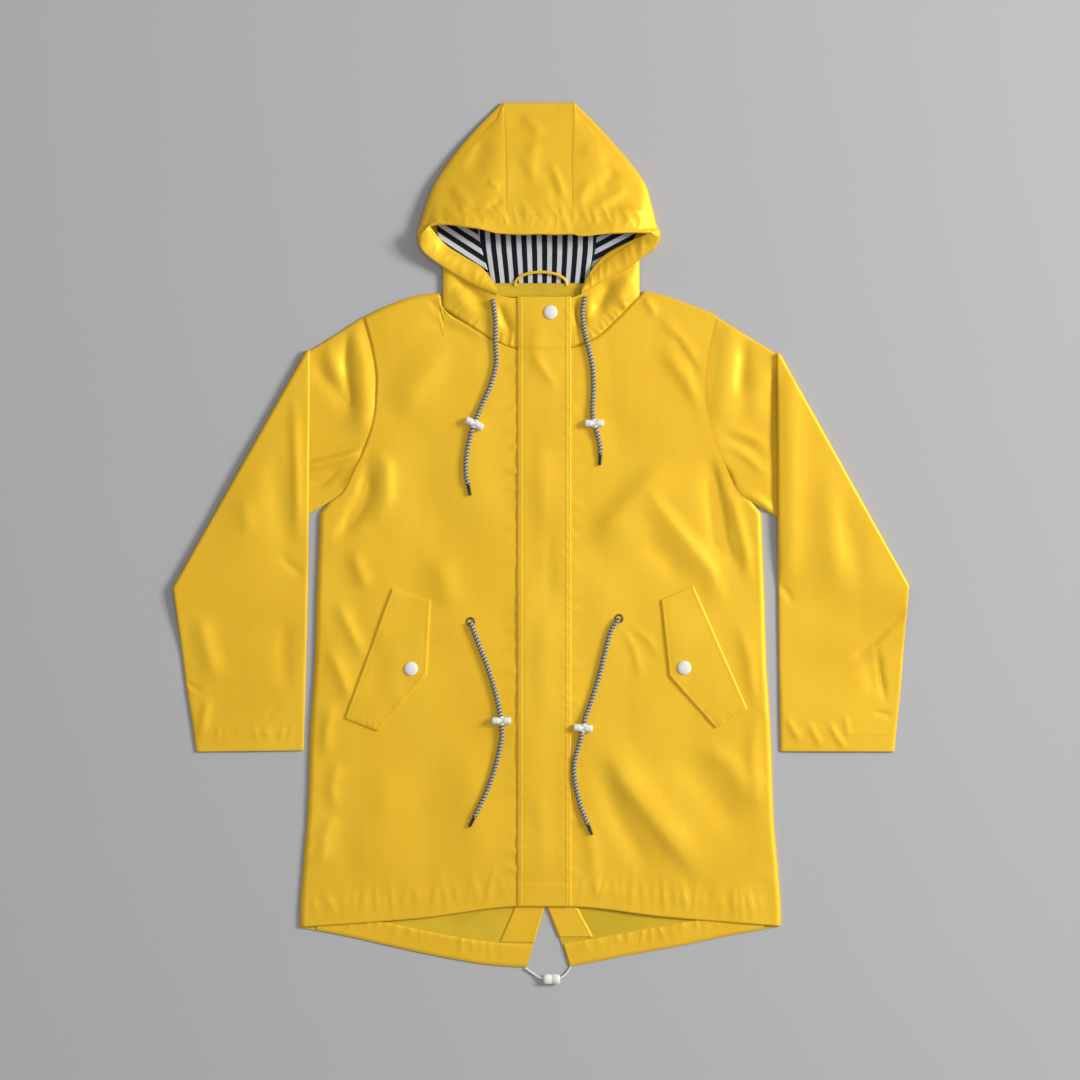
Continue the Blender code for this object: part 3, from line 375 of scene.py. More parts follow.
@dataclass(frozen=True)
class CoatForm:
    """Outlines and heights that the whole coat shares."""

    shoulder_half: float = 0.2114
    hem_half: float = 0.2885
    rest_height: float = 0.0052
    seam_height: float = 0.0034
    side_round: float = 0.0075
    armhole_dip: float = 0.0034
    shoulder_round: float = 0.0060
    hem_lift: float = 0.0003
    lowest: float = 0.0026
    thin_edge: float = 0.0003
    arm_edge: float = 0.0036
    neck_half: float = 0.1180
    cloth: float = 0.0010
    widths: Line = field(default_factory=lambda: Line((
        (-0.4720, 0.2880), (-0.4560, 0.2885), (-0.4000, 0.2850), (-0.3400, 0.2800), (-0.2300, 0.2760),
        (-0.1500, 0.2710), (-0.0800, 0.2690), (0.0000, 0.2660), (0.0240, 0.2650), (0.0380, 0.2545),
        (0.0500, 0.2380), (0.0780, 0.2240), (0.1000, 0.2130), (0.1250, 0.2040), (0.1560, 0.1980),
        (0.1860, 0.1965), (0.2200, 0.2010), (0.2620, 0.2114),
    )))
    upper: Line = field(default_factory=lambda: Line(SHOULDER_LEFT + NECK_SEAM + SHOULDER_RIGHT))
    back_upper: Line = field(default_factory=lambda: Line(
        SHOULDER_LEFT + ((-0.1170, 0.2860), (0.1190, 0.2860)) + SHOULDER_RIGHT))
    neck: Line = field(default_factory=lambda: Line(NECK_SEAM))
    front_hem: Line = field(default_factory=lambda: Line((
        (-0.2880, -0.4700), (-0.1500, -0.4600), (-0.0160, -0.4450), (0.0366, -0.4455), (0.1500, -0.4580),
        (0.2890, -0.4690),
    )))
    tail: Line = field(default_factory=lambda: Line((
        (-0.2880, -0.4710), (-0.2380, -0.4800), (-0.1840, -0.4920), (-0.1290, -0.5040), (-0.0560, -0.5160),
        (-0.0162, -0.5184), (0.0354, -0.5172), (0.0430, -0.5160), (0.1050, -0.5040), (0.1710, -0.4920),
        (0.2290, -0.4800), (0.2890, -0.4690),
    )))

    def grid(self, upper: Line, lower: Line, shares: Array, rows: Array) -> tuple[Array, Array]:
        """Grid over the body whose columns keep their share of the half width.

        Args:
            upper: Upper edge by place across.
            lower: Lower edge by place across.
            shares: Share of the half width for each column, negative on the left.
            rows: Share of the way up for each row.

        Returns:
            Grids of x and y, rows by columns.
        """
        low = lower(shares * self.hem_half)
        high = upper(shares * self.shoulder_half)
        y = between(low[None, :], high[None, :], rows[:, None])
        reach = np.abs(shares[None, :]) ** (1 + 7 * ease((y - 0.02) / 0.18))
        x = shares[None, :] * self.shoulder_half
        return x + np.sign(shares[None, :]) * reach * (self.widths(y) - self.shoulder_half), y

    def front_height(self, x: Array, y: Array, relief: Relief) -> Array:
        """Upper face of the fronts.

        Args:
            x: Places across the coat.
            y: Places up the coat.
            relief: Folds of the fronts.

        Returns:
            Height of the cloth's upper face.
        """
        x, y = np.broadcast_arrays(np.asarray(x, float), np.asarray(y, float))
        thin, rest = self.thin_edge, self.rest_height
        to_side = np.maximum(self.widths(y) - np.abs(x), 0.0)
        to_top = np.maximum(self.upper(x) - y, 0.0)
        arm = ease((y - UNDERARM[1] + 0.006) / 0.012)
        dip = np.where(x < 0, rounded(to_side / self.armhole_dip), 1.0)
        at_side = between(thin, rest, rounded(to_side / self.side_round))
        side = between(at_side, between(self.arm_edge, rest, dip), arm)
        neck = np.abs(x) < self.neck_half
        top = np.where(
            neck,
            between(self.seam_height, rest, rounded(to_top / 0.0035)),
            between(2 * thin, rest, rounded(to_top / self.shoulder_round)),
        )
        height = np.minimum(side, top)
        inside = ease(to_side / 0.020) * np.where(neck, ease(to_top / 0.005), ease(to_top / 0.012))
        height = np.maximum(height + inside * relief_height(relief, x, y), np.minimum(height, self.lowest))
        to_hem = y - self.front_hem(x)
        raised = self.hem_lift * (1 - ease((to_hem - 0.0250) / 0.0030))
        return np.maximum(height - 0.0009 * (1 - rounded(to_hem / 0.0018)) + raised, thin)

    def neck_height(self, x: Array, y: Array, relief: Relief) -> Array:
        """Upper face of the lower hood beside the neck.

        Args:
            x: Places across the coat.
            y: Places up the coat.
            relief: Folds of the lower hood.

        Returns:
            Height of the cloth's upper face.
        """
        x, y = np.broadcast_arrays(np.asarray(x, float), np.asarray(y, float))
        above = np.maximum(y - self.neck(x), 0.0)
        outer = rounded((0.1195 - np.abs(x)) / 0.010)
        base = between(self.seam_height, 0.0056, rounded(above / 0.004)) + 0.0018 * ease(above / 0.05)
        lift = relief_height(relief, x, y) * ease(above / 0.004)
        return 0.0015 + (base - 0.0015 + lift) * outer


# Mesh making


def mesh_object(name: str, points: Array, faces: Sequence[Sequence[int]], edges: Sequence[Sequence[int]] = (),
                sharp: float = 50.0) -> Piece:
    """Object from points and faces, shaded smooth apart from sharp corners.

    Args:
        name: Name of the object and its mesh.
        points: Corner places.
        faces: Corner numbers of each face.
        edges: Loose edges, for a line.
        sharp: Angle in degrees above which an edge stays sharp.

    Returns:
        The linked object.
    """
    mesh = bpy.data.meshes.new(name)
    mesh.from_pydata(np.asarray(points).tolist(), list(edges), list(faces))
    if len(faces):
        mesh.shade_smooth()
        mesh.set_sharp_from_angle(angle=math.radians(sharp))
    made = bpy.data.objects.new(name, mesh)
    bpy.context.scene.collection.objects.link(made)
    return made


def turned_in(points: Array, faces: Array) -> bool:
    """Whether a closed shell's faces point inwards, from three or more corners of each."""
    corners = points[faces] - points.mean(axis=0)
    first = corners[:, 0]
    fans = [np.cross(corners[:, k], corners[:, k + 1]) for k in range(1, faces.shape[1] - 1)]
    return sum(float(np.einsum("ij,ij->i", first, fan).sum()) for fan in fans) < 0


def closed_shell(name: str, outer: Array, inner: Array, ring: bool = False, uv: Array | None = None,
                 sharp: float = 50.0) -> Piece:
    """Closed solid between two grids of points.

    Args:
        name: Name of the object.
        outer: Grid of places on one face, rows by columns by 3.
        inner: The same for the other face.
        ring: Joins the last column to the first.
        uv: Grid of map places, rows by columns by 2, for both faces.
        sharp: Angle in degrees above which an edge stays sharp.

    Returns:
        The linked object, its faces turned outwards.
    """
    rows, columns = outer.shape[:2]
    count = rows * columns
    index = np.arange(count).reshape(rows, columns)
    around = np.column_stack([index, index[:, 0]]) if ring else index
    corners = (around[:-1, :-1], around[:-1, 1:], around[1:, 1:], around[1:, :-1])
    quads = np.stack(corners, axis=-1).reshape(-1, 4)
    if ring:
        borders = [around[0], around[-1][::-1]]
    else:
        borders = [np.concatenate([index[0], index[1:, -1], index[-1, -2::-1], index[-2::-1, 0]])]
    walls = [np.column_stack([b[1:], b[:-1], b[:-1] + count, b[1:] + count]) for b in borders]
    faces = np.vstack([quads, quads[:, ::-1] + count, *walls])
    points = np.vstack([outer.reshape(-1, 3), inner.reshape(-1, 3)])
    if turned_in(points, faces):
        faces = faces[:, ::-1]
    made = mesh_object(name, points, faces.tolist(), sharp=sharp)
    if uv is not None:
        layer = made.data.uv_layers.new(name="cut")
        corners = np.empty(len(made.data.loops), np.int32)
        made.data.loops.foreach_get("vertex_index", corners)
        flat = np.asarray(uv, float).reshape(-1, 2)
        layer.data.foreach_set("uv", flat[corners % count].astype(np.float32).ravel())
    return made


def sheet_shell(name: str, x: Array, y: Array, top: Array, thickness: float, uv: Array | None = None,
                floor: float = 0.0001) -> Piece:
    """Cloth from grids of x and y and the height of its upper face.

    Args:
        name: Name of the object.
        x: Grid of places across.
        y: Grid of places up.
        top: Height of the upper face.
        thickness: Thickness of the cloth.
        uv: Grid of map places.
        floor: Lowest height of the under face.

    Returns:
        The linked object.
    """
    under = np.maximum(top - thickness, floor)
    return closed_shell(name, np.dstack([x, y, np.maximum(top, floor + 0.0002)]), np.dstack([x, y, under]),
                        uv=uv)


def two_faces(paths: Array, thickness: float) -> tuple[Array, Array]:
    """Faces of a bent cloth from its middle lines.

    Args:
        paths: Grid of places in the middle of the cloth.
        thickness: Thickness of the cloth.

    Returns:
        Grids of places half the thickness to each side.
    """
    normal = np.cross(np.gradient(paths, axis=1), np.gradient(paths, axis=0))
    normal = normal / np.maximum(np.linalg.norm(normal, axis=2, keepdims=True), 1e-12)
    return paths + normal * thickness / 2, paths - normal * thickness / 2


def turned(name: str, start: Sequence[float], end: Sequence[float], profile: Sequence[Pair], sides: int = 40,
           flatten: float = 1.0, sharp: float = 40.0) -> Piece:
    """Solid turned about the line from start to end.

    Args:
        name: Name of the object.
        start: First end of the axis.
        end: Other end of the axis.
        profile: Share of the length and radius for each ring. Both ends are closed.
        sides: Corners of each ring.
        flatten: Scale of the height against the width, for an oval section.
        sharp: Angle in degrees above which an edge stays sharp.

    Returns:
        The linked object.
    """
    first, last = np.array(start, float), np.array(end, float)
    axis = (last - first) / np.linalg.norm(last - first)
    guide = np.array((0.0, 0.0, 1.0)) if abs(axis[2]) < 0.9 else np.array((1.0, 0.0, 0.0))
    side = np.cross(axis, guide)
    side = side / np.linalg.norm(side)
    up = np.cross(side, axis) * flatten
    angles = np.linspace(0, math.tau, sides, endpoint=False)
    circle = np.outer(np.cos(angles), side) + np.outer(np.sin(angles), up)
    rings = [first + (last - first) * share + radius * circle for share, radius in profile]
    points = np.vstack(rings + [first[None, :], last[None, :]])
    faces: list[list[int]] = []
    tip = len(profile) * sides
    for k in range(sides):
        following = (k + 1) % sides
        faces += [[a + following, a + k, a + sides + k, a + sides + following]
                  for a in range(0, tip - sides, sides)]
        faces += [[tip, k, following], [tip + 1, tip - sides + following, tip - sides + k]]
    made = mesh_object(name, points, faces, sharp=sharp)
    if turned_in(points, np.array([face[:3] for face in faces])):
        made.data.flip_normals()
    return made


def joined(name: str, parts: Sequence[Piece]) -> Piece:
    """One object from several meshes at the origin, keeping each face's material.

    Args:
        name: Name of the joined object.
        parts: The objects, which are removed.

    Returns:
        The joined object.
    """
    points: list[Array] = []
    faces: list[list[int]] = []
    slots: list[int] = []
    materials: list[Material] = []
    total = 0
    for part in parts:
        mesh = part.data
        coordinates = np.empty(len(mesh.vertices) * 3)
        mesh.vertices.foreach_get("co", coordinates)
        points.append(coordinates.reshape(-1, 3))
        local = [m for m in mesh.materials if m is not None]
        for material in local:
            if material not in materials:
                materials.append(material)
        for face in mesh.polygons:
            faces.append([index + total for index in face.vertices])
            slots.append(materials.index(local[face.material_index]) if local else 0)
        total += len(mesh.vertices)
        bpy.data.objects.remove(part, do_unlink=True)
    made = mesh_object(name, np.vstack(points), faces)
    for material in materials:
        made.data.materials.append(material)
    made.data.polygons.foreach_set("material_index", slots)
    return made


# Finishes


class Signal:
    """One output of a shader node, with plain arithmetic."""

    def __init__(self, graph: Graph, socket: bpy.types.NodeSocket) -> None:
        """Wraps a socket.

        Args:
            graph: The material's graph.
            socket: The output.
        """
        self.graph = graph
        self.socket = socket

    def maths(self, operation: str, *values: Signal | float) -> Signal:
        """Adds a Math node on some values."""
        return self.graph.add("ShaderNodeMath", {"operation": operation}, dict(enumerate(values)))

    def __add__(self, other: Signal | float) -> Signal:
        """Sum."""
        return self.maths("ADD", self, other)

    __radd__ = __add__

    def __sub__(self, other: Signal | float) -> Signal:
        """Difference."""
        return self.maths("SUBTRACT", self, other)

    def __rsub__(self, other: float) -> Signal:
        """Difference from a number."""
        return self.maths("SUBTRACT", other, self)

    def __mul__(self, other: Signal | float) -> Signal:
        """Product."""
        return self.maths("MULTIPLY", self, other)

    __rmul__ = __mul__

    def __truediv__(self, other: Signal | float) -> Signal:
        """Quotient."""
        return self.maths("DIVIDE", self, other)

    def sine(self) -> Signal:
        """Sine of the signal."""
        return self.maths("SINE", self)

    def size(self) -> Signal:
        """The signal without its sign."""
        return self.maths("ABSOLUTE", self)

    def part(self) -> Signal:
        """What is left after the whole number."""
        return self.maths("FRACT", self)

    def over(self, level: float) -> Signal:
        """1 where the signal is above a level and 0 elsewhere."""
        return self.maths("GREATER_THAN", self, level)

    def step(self, low: float, high: float) -> Signal:
        """Smooth step of the signal from low to high."""
        return self.graph.add("ShaderNodeMapRange", {"interpolation_type": "SMOOTHSTEP"},
                              {"Value": self, "From Min": low, "From Max": high})


class Graph:
    """Node graph of one material."""

    def __init__(self, name: str) -> None:
        """Starts a material.

        Args:
            name: Name of the material.
        """
        self.material = bpy.data.materials.new(name)
        self.material.use_nodes = True
        self.tree = self.material.node_tree
        self.shader = self.tree.nodes["Principled BSDF"]

    def add(self, kind: str, settings: dict[str, object] | None = None,
            inputs: dict[int | str, object] | None = None, output: int | str = 0) -> Signal:
        """Adds a node.

        Args:
            kind: Node type.
            settings: Node settings, set before the sockets.
            inputs: Socket values or signals by name or number.
            output: Which output to give back.

        Returns:
            That output.
        """
        node = self.tree.nodes.new(kind)
        for key, value in (settings or {}).items():
            setattr(node, key, value)
        for key, value in (inputs or {}).items():
            self.feed(node.inputs[key], value)
        return Signal(self, node.outputs[output])

    def feed(self, socket: bpy.types.NodeSocket, value: object) -> None:
        """Sets a socket or links a signal to it.

        Args:
            socket: The input.
            value: A signal, a number or a tuple.
        """
        if isinstance(value, Signal):
            self.tree.links.new(value.socket, socket)
        else:
            socket.default_value = value

    def place(self) -> Signal:
        """The piece's own coordinates."""
        return self.add("ShaderNodeTexCoord", output="Object")

    def cut(self) -> Signal:
        """The piece's own map."""
        return self.add("ShaderNodeUVMap", {"uv_map": "cut"})

    def axis(self, vector: Signal, output: str) -> Signal:
        """One axis of a vector.

        Args:
            vector: The vector.
            output: X, Y or Z.

        Returns:
            That axis.
        """
        return self.add("ShaderNodeSeparateXYZ", None, {0: vector}, output)

    def weave(self, place: Signal, pitch: float) -> Signal:
        """Crossing yarns at an even pitch."""
        turns = math.tau / pitch
        x, y = self.axis(place, "X"), self.axis(place, "Y")
        return (x * turns).sine() * (y * turns).sine()

    def noise(self, vector: Signal, scale: float, detail: float = 3.0, roughness: float = 0.5) -> Signal:
        """Even noise from 0 to 1 at a scale per metre."""
        return self.add("ShaderNodeTexNoise", {"noise_dimensions": "3D"},
                        {"Vector": vector, "Scale": scale, "Detail": detail, "Roughness": roughness})

    def blend(self, factor: Signal | float, first: object, second: object) -> Signal:
        """Colour between two colours."""
        node = self.tree.nodes.new("ShaderNodeMix")
        node.data_type = "RGBA"
        self.feed(node.inputs["Factor"], factor)
        for name, value in (("A", first), ("B", second)):
            socket = next(s for s in node.inputs if s.name == name and s.type == "RGBA")
            self.feed(socket, (*value, 1.0) if isinstance(value, tuple) else value)
        return Signal(self, next(s for s in node.outputs if s.type == "RGBA"))

    def bump(self, height: Signal, strength: float, distance: float, below: Signal | None = None) -> Signal:
        """Bump from a height, over another bump where one is given."""
        node = self.tree.nodes.new("ShaderNodeBump")
        node.inputs["Strength"].default_value = strength
        node.inputs["Distance"].default_value = distance
        self.feed(node.inputs["Height"], height)
        if below is not None:
            self.feed(node.inputs["Normal"], below)
        return Signal(self, node.outputs[0])

    def finish(self, **sockets: object) -> Material:
        """Sets the shader's sockets, underscores standing for spaces, and gives back the material."""
        for key, value in sockets.items():
            if isinstance(value, tuple) and len(value) == 3:
                value = (*value, 1.0)
            self.feed(self.shader.inputs[key.replace("_", " ")], value)
        return self.material


@dataclass(frozen=True)
class Finish:
    """One finish of the coat, by the name of its material."""

    name: str

    def sockets(self, graph: Graph) -> Sockets:
        """What feeds the shader, by socket name with underscores for spaces."""
        raise NotImplementedError

    def build(self) -> Material:
        """Makes the material."""
        graph = Graph(self.name)
        return graph.finish(**self.sockets(graph))


def dimmed(color: Triple, share: float) -> Triple:
    """A share of a colour's light."""
    return tuple(share * c for c in color)


@dataclass(frozen=True)
class RainCloth(Finish):
    """Coated satin cloth: a soft broad shine over a fine weave, with lighter streaked patches in the base
    colour that are painted sheen.
    """

    name: str = "rain_cloth"
    # light is the lighter tone of the base colour. Both the random tone and the painted sheen patches move
    # the colour towards it.
    light: Triple = (0.855, 0.535, 0.034)
    deep: Triple = (0.800, 0.470, 0.024)
    roughness: float = 0.44
    metallic: float = 0.30
    weave_pitch: float = 0.00055

    def sockets(self, graph: Graph) -> Sockets:
        """What feeds the shader of this finish."""
        place = graph.place()
        mottle = graph.noise(place, 9.0, 4.0, 0.55)
        grain = graph.noise(place, 420.0, 2.0)
        streaked = graph.add("ShaderNodeVectorMath", {"operation": "MULTIPLY"},
                             {0: place, 1: (1.0, 0.22, 1.0)})
        # Painted sheen: streaked lighter patches in the base colour stand in for the shine of the cloth on
        # its folds. shade blends random tone with this painted sheen.
        painted_sheen = graph.noise(streaked, 15.0, 2.0, 0.4).step(0.50, 0.62)
        shade = (mottle * 0.6 + grain * 0.15).step(0.24, 0.60) * 0.65 + painted_sheen * 0.35
        color = graph.blend(shade, self.deep, self.light)
        weave = graph.weave(place, self.weave_pitch)
        crinkle = graph.noise(place, 150.0, 3.0, 0.6)
        soft = graph.bump(graph.noise(streaked, 34.0, 3.0, 0.5), 0.34, 0.0016)
        relief = graph.bump(crinkle, 0.16, 0.0005, soft)
        normal = graph.bump(weave, 0.10, 0.00006, relief)
        return dict(
            Base_Color=color, Roughness=self.roughness + mottle * 0.10, Normal=normal, Metallic=self.metallic,
            Specular_IOR_Level=0.15,
        )


@dataclass(frozen=True)
class InsideCloth(Finish):
    """Inside of the cloth: the same colour, duller, with the weave showing."""

    name: str = "inside_cloth"
    light: Triple = (0.64, 0.43, 0.018)
    deep: Triple = (0.56, 0.37, 0.012)
    weave_pitch: float = 0.0007

    def sockets(self, graph: Graph) -> Sockets:
        """What feeds the shader of this finish."""
        place = graph.place()
        mottle = graph.noise(place, 14.0, 4.0)
        weave = graph.weave(place, self.weave_pitch)
        normal = graph.bump(weave, 0.2, 0.0001, graph.bump(graph.noise(place, 60.0), 0.25, 0.001))
        return dict(Base_Color=graph.blend(mottle.step(0.35, 0.65), self.deep, self.light),
                            Roughness=0.62 + mottle * 0.08, Normal=normal, Specular_IOR_Level=0.3)


@dataclass(frozen=True)
class StripedLining(Finish):
    """Jersey lining with even stripes that run along the cut."""

    name: str = "striped_lining"
    pale: Triple = (0.56, 0.56, 0.57)
    dark: Triple = (0.004, 0.005, 0.010)
    pitch: float = 0.0118
    dark_share: float = 0.47

    def sockets(self, graph: Graph) -> Sockets:
        """What feeds the shader of this finish."""
        cut = graph.cut()
        place = graph.place()
        wobble = graph.noise(place, 90.0, 2.0) - 0.5
        across = graph.axis(cut, "X") / self.pitch + wobble * 0.05
        near = (across.part() - 0.5).size() * 2.0
        dark = near.step(1 - self.dark_share + 0.03, 1 - self.dark_share - 0.03)
        courses = (graph.axis(cut, "Y") * (math.tau / 0.0011)).sine()
        knit = courses * (graph.axis(cut, "X") * (math.tau / 0.0009)).sine()
        fuzz = graph.noise(place, 900.0, 2.0)
        color = graph.blend(dark, self.pale, self.dark)
        shade = graph.blend(fuzz.step(0.2, 0.8) * 0.07, color, (0.12, 0.12, 0.13))
        normal = graph.bump(knit + fuzz, 0.35, 0.0002)
        return dict(Base_Color=shade, Roughness=0.9, Normal=normal, Specular_IOR_Level=0.15)


@dataclass(frozen=True)
class MouldedPlastic(Finish):
    """Smooth moulded plastic with a faint mottle."""

    name: str
    color: Triple
    roughness: float = 0.35

    def sockets(self, graph: Graph) -> Sockets:
        """What feeds the shader of this finish."""
        place = graph.place()
        mottle = graph.noise(place, 240.0, 3.0)
        darker = dimmed(self.color, 0.93)
        normal = graph.bump(graph.noise(place, 1600.0, 2.0), 0.06, 0.0002)
        return dict(Base_Color=graph.blend(mottle, darker, self.color), Normal=normal,
                            Roughness=self.roughness + mottle * 0.1, Specular_IOR_Level=0.5)


@dataclass(frozen=True)
class EyeletMetal(Finish):
    """Pale plated metal with fine scratches."""

    name: str = "eyelet_metal"
    color: Triple = (0.22, 0.21, 0.19)

    def sockets(self, graph: Graph) -> Sockets:
        """What feeds the shader of this finish."""
        place = graph.place()
        scratches = graph.noise(place, 2200.0, 3.0)
        return dict(Base_Color=self.color, Metallic=1.0, Roughness=0.24 + scratches * 0.2,
                            Normal=graph.bump(scratches, 0.1, 0.0001))


@dataclass(frozen=True)
class Braid(Finish):
    """Round braid, its pale and dark yarns in chevrons along the cord's own map."""

    name: str = "braided_cord"
    pale: Triple = (0.43, 0.395, 0.295)
    dark: Triple = (0.006, 0.006, 0.007)
    pitch: float = 0.0042
    chevrons: float = 3.0
    dark_share: float = 0.60
    yarn: float = 0.0011

    def sockets(self, graph: Graph) -> Sockets:
        """What feeds the shader of this finish."""
        cut = graph.cut()
        around, along = graph.axis(cut, "X"), graph.axis(cut, "Y")
        peak = ((around * self.chevrons).part() - 0.5).size() * 2.0
        wave = (along / self.pitch + peak * 0.5).part()
        dark = ((wave - 0.5).size() * 2.0).step(1 - self.dark_share + 0.10, 1 - self.dark_share - 0.10)
        yarns = (along * (math.tau / self.yarn) + around * (math.tau * 8)).sine()
        other = (along * (math.tau / self.yarn) - around * (math.tau * 8)).sine()
        fuzz = graph.noise(graph.place(), 1400.0, 2.0)
        color = graph.blend(fuzz.step(0.3, 0.9) * 0.25, graph.blend(dark, self.pale, self.dark),
                            (0.20, 0.20, 0.20))
        normal = graph.bump(yarns * other * 0.5 + fuzz * 0.3, 0.5, 0.0004)
        return dict(Base_Color=color, Roughness=0.78, Normal=normal, Sheen_Weight=0.15)


@dataclass(frozen=True)
class Elastic(Finish):
    """Covered elastic: fine ribs across the cord."""

    name: str = "white_elastic"
    color: Triple = (0.74, 0.73, 0.70)
    rib: float = 0.0007

    def sockets(self, graph: Graph) -> Sockets:
        """What feeds the shader of this finish."""
        cut = graph.cut()
        ribs = (graph.axis(cut, "Y") * (math.tau / self.rib)).sine()
        fuzz = graph.noise(graph.place(), 1200.0, 2.0)
        color = graph.blend(fuzz, dimmed(self.color, 0.86), self.color)
        return dict(Base_Color=color, Roughness=0.7, Normal=graph.bump(ribs + fuzz, 0.4, 0.0002))


@dataclass(frozen=True)
class Thread(Finish):
    """Sewing thread that matches the cloth, a little deeper."""

    name: str = "sewing_thread"
    color: Triple = (0.76, 0.43, 0.030)

    def sockets(self, graph: Graph) -> Sockets:
        """What feeds the shader of this finish."""
        twist = graph.noise(graph.place(), 2600.0, 2.0)
        return dict(Base_Color=graph.blend(twist, dimmed(self.color, 0.85), self.color),
                            Roughness=0.5, Normal=graph.bump(twist, 0.3, 0.0002))


@dataclass(frozen=True)
class FloorPaint(Finish):
    """Pale matt floor."""

    name: str = "pale_floor"
    color: Triple = (0.425, 0.425, 0.432)

    def sockets(self, graph: Graph) -> Sockets:
        """What feeds the shader of this finish."""
        mottle = graph.noise(graph.place(), 5.0, 4.0)
        return dict(Base_Color=graph.blend(mottle, dimmed(self.color, 0.985), self.color),
                            Roughness=0.85, Specular_IOR_Level=0.1)


@dataclass
class Finishes:
    """Every finish of the coat, made once."""

    cloth: Material
    inside: Material
    lining: Material
    plastic: Material
    metal: Material
    braid: Material
    elastic: Material
    aglet: Material
    thread: Material
    floor: Material

    @classmethod
    def make(cls) -> Finishes:
        """Builds them all.

        Returns:
            The finishes.
        """
        white = MouldedPlastic("white_plastic", (0.74, 0.74, 0.70))
        black = MouldedPlastic("black_aglet", (0.018, 0.018, 0.020), 0.3)
        order = (RainCloth(), InsideCloth(), StripedLining(), white, EyeletMetal(), Braid(), Elastic(), black,
                 Thread(), FloorPaint())
        return cls(*(finish.build() for finish in order))


class Slot(Enum):
    """Material slots of the record."""

    CLOTH = "rain_cloth"
    INSIDE = "inside_cloth"
    LINING = "striped_lining"
    PLASTIC = "white_plastic"
    METAL = "eyelet_metal"
    BRAID = "braided_cord"
    ELASTIC = "white_elastic"
    AGLET = "black_aglet"


def dress(piece: Piece, material: Material, slot: Slot | None, *nodes: str) -> Piece:
    """Gives a piece its finish and its place in the frame.

    Args:
        piece: The finished piece.
        material: Its material.
        slot: The record's slot for the piece; not used.
        nodes: CAD nodes that it stands for.

    Returns:
        The same piece.
    """
    if not piece.data.materials:
        piece.data.materials.append(material)
    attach(piece, "root")
    if nodes:
        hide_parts(*nodes)
    return piece


class Ground:
    """Upper faces of finished pieces, read from above."""

    def __init__(self, pieces: Sequence[Piece]) -> None:
        """Gathers the pieces' faces.

        Args:
            pieces: What other pieces rest on.
        """
        points: list[Triple] = []
        faces: list[list[int]] = []
        for piece in pieces:
            start = len(points)
            points += [tuple(v.co) for v in piece.data.vertices]
            faces += [[start + k for k in face.vertices] for face in piece.data.polygons]
        self.tree = BVHTree.FromPolygons(points, faces)

    def height(self, x: float, y: float) -> float:
        """Height of the highest face at a place, or 0 over none."""
        hit = self.tree.ray_cast(Vector((x, y, 0.2)), Vector((0.0, 0.0, -1.0)))[0]
        return 0.0 if hit is None else hit.z

    def under(self, x: float, y: float, radius: float) -> float:
        """Highest face under a disc."""
        turns = np.linspace(0, math.tau, 12)
        spots = [(x, y)] + [(x + radius * math.cos(turn), y + radius * math.sin(turn)) for turn in turns]
        return max(self.height(*spot) for spot in spots)

    def along(self, places: Sequence[Pair], spacing: float = 0.0025) -> list[Triple]:
        """Line laid on the faces, without the places that lie over none."""
        corners = np.array(places, float)
        lengths = walked(corners)
        even = np.linspace(0, lengths[-1], max(2, int(lengths[-1] / spacing)))
        across, up = np.interp(even, lengths, corners[:, 0]), np.interp(even, lengths, corners[:, 1])
        laid = [(x, y, self.height(x, y)) for x, y in zip(across, up)]
        return [spot for spot in laid if spot[2] > 0.0]


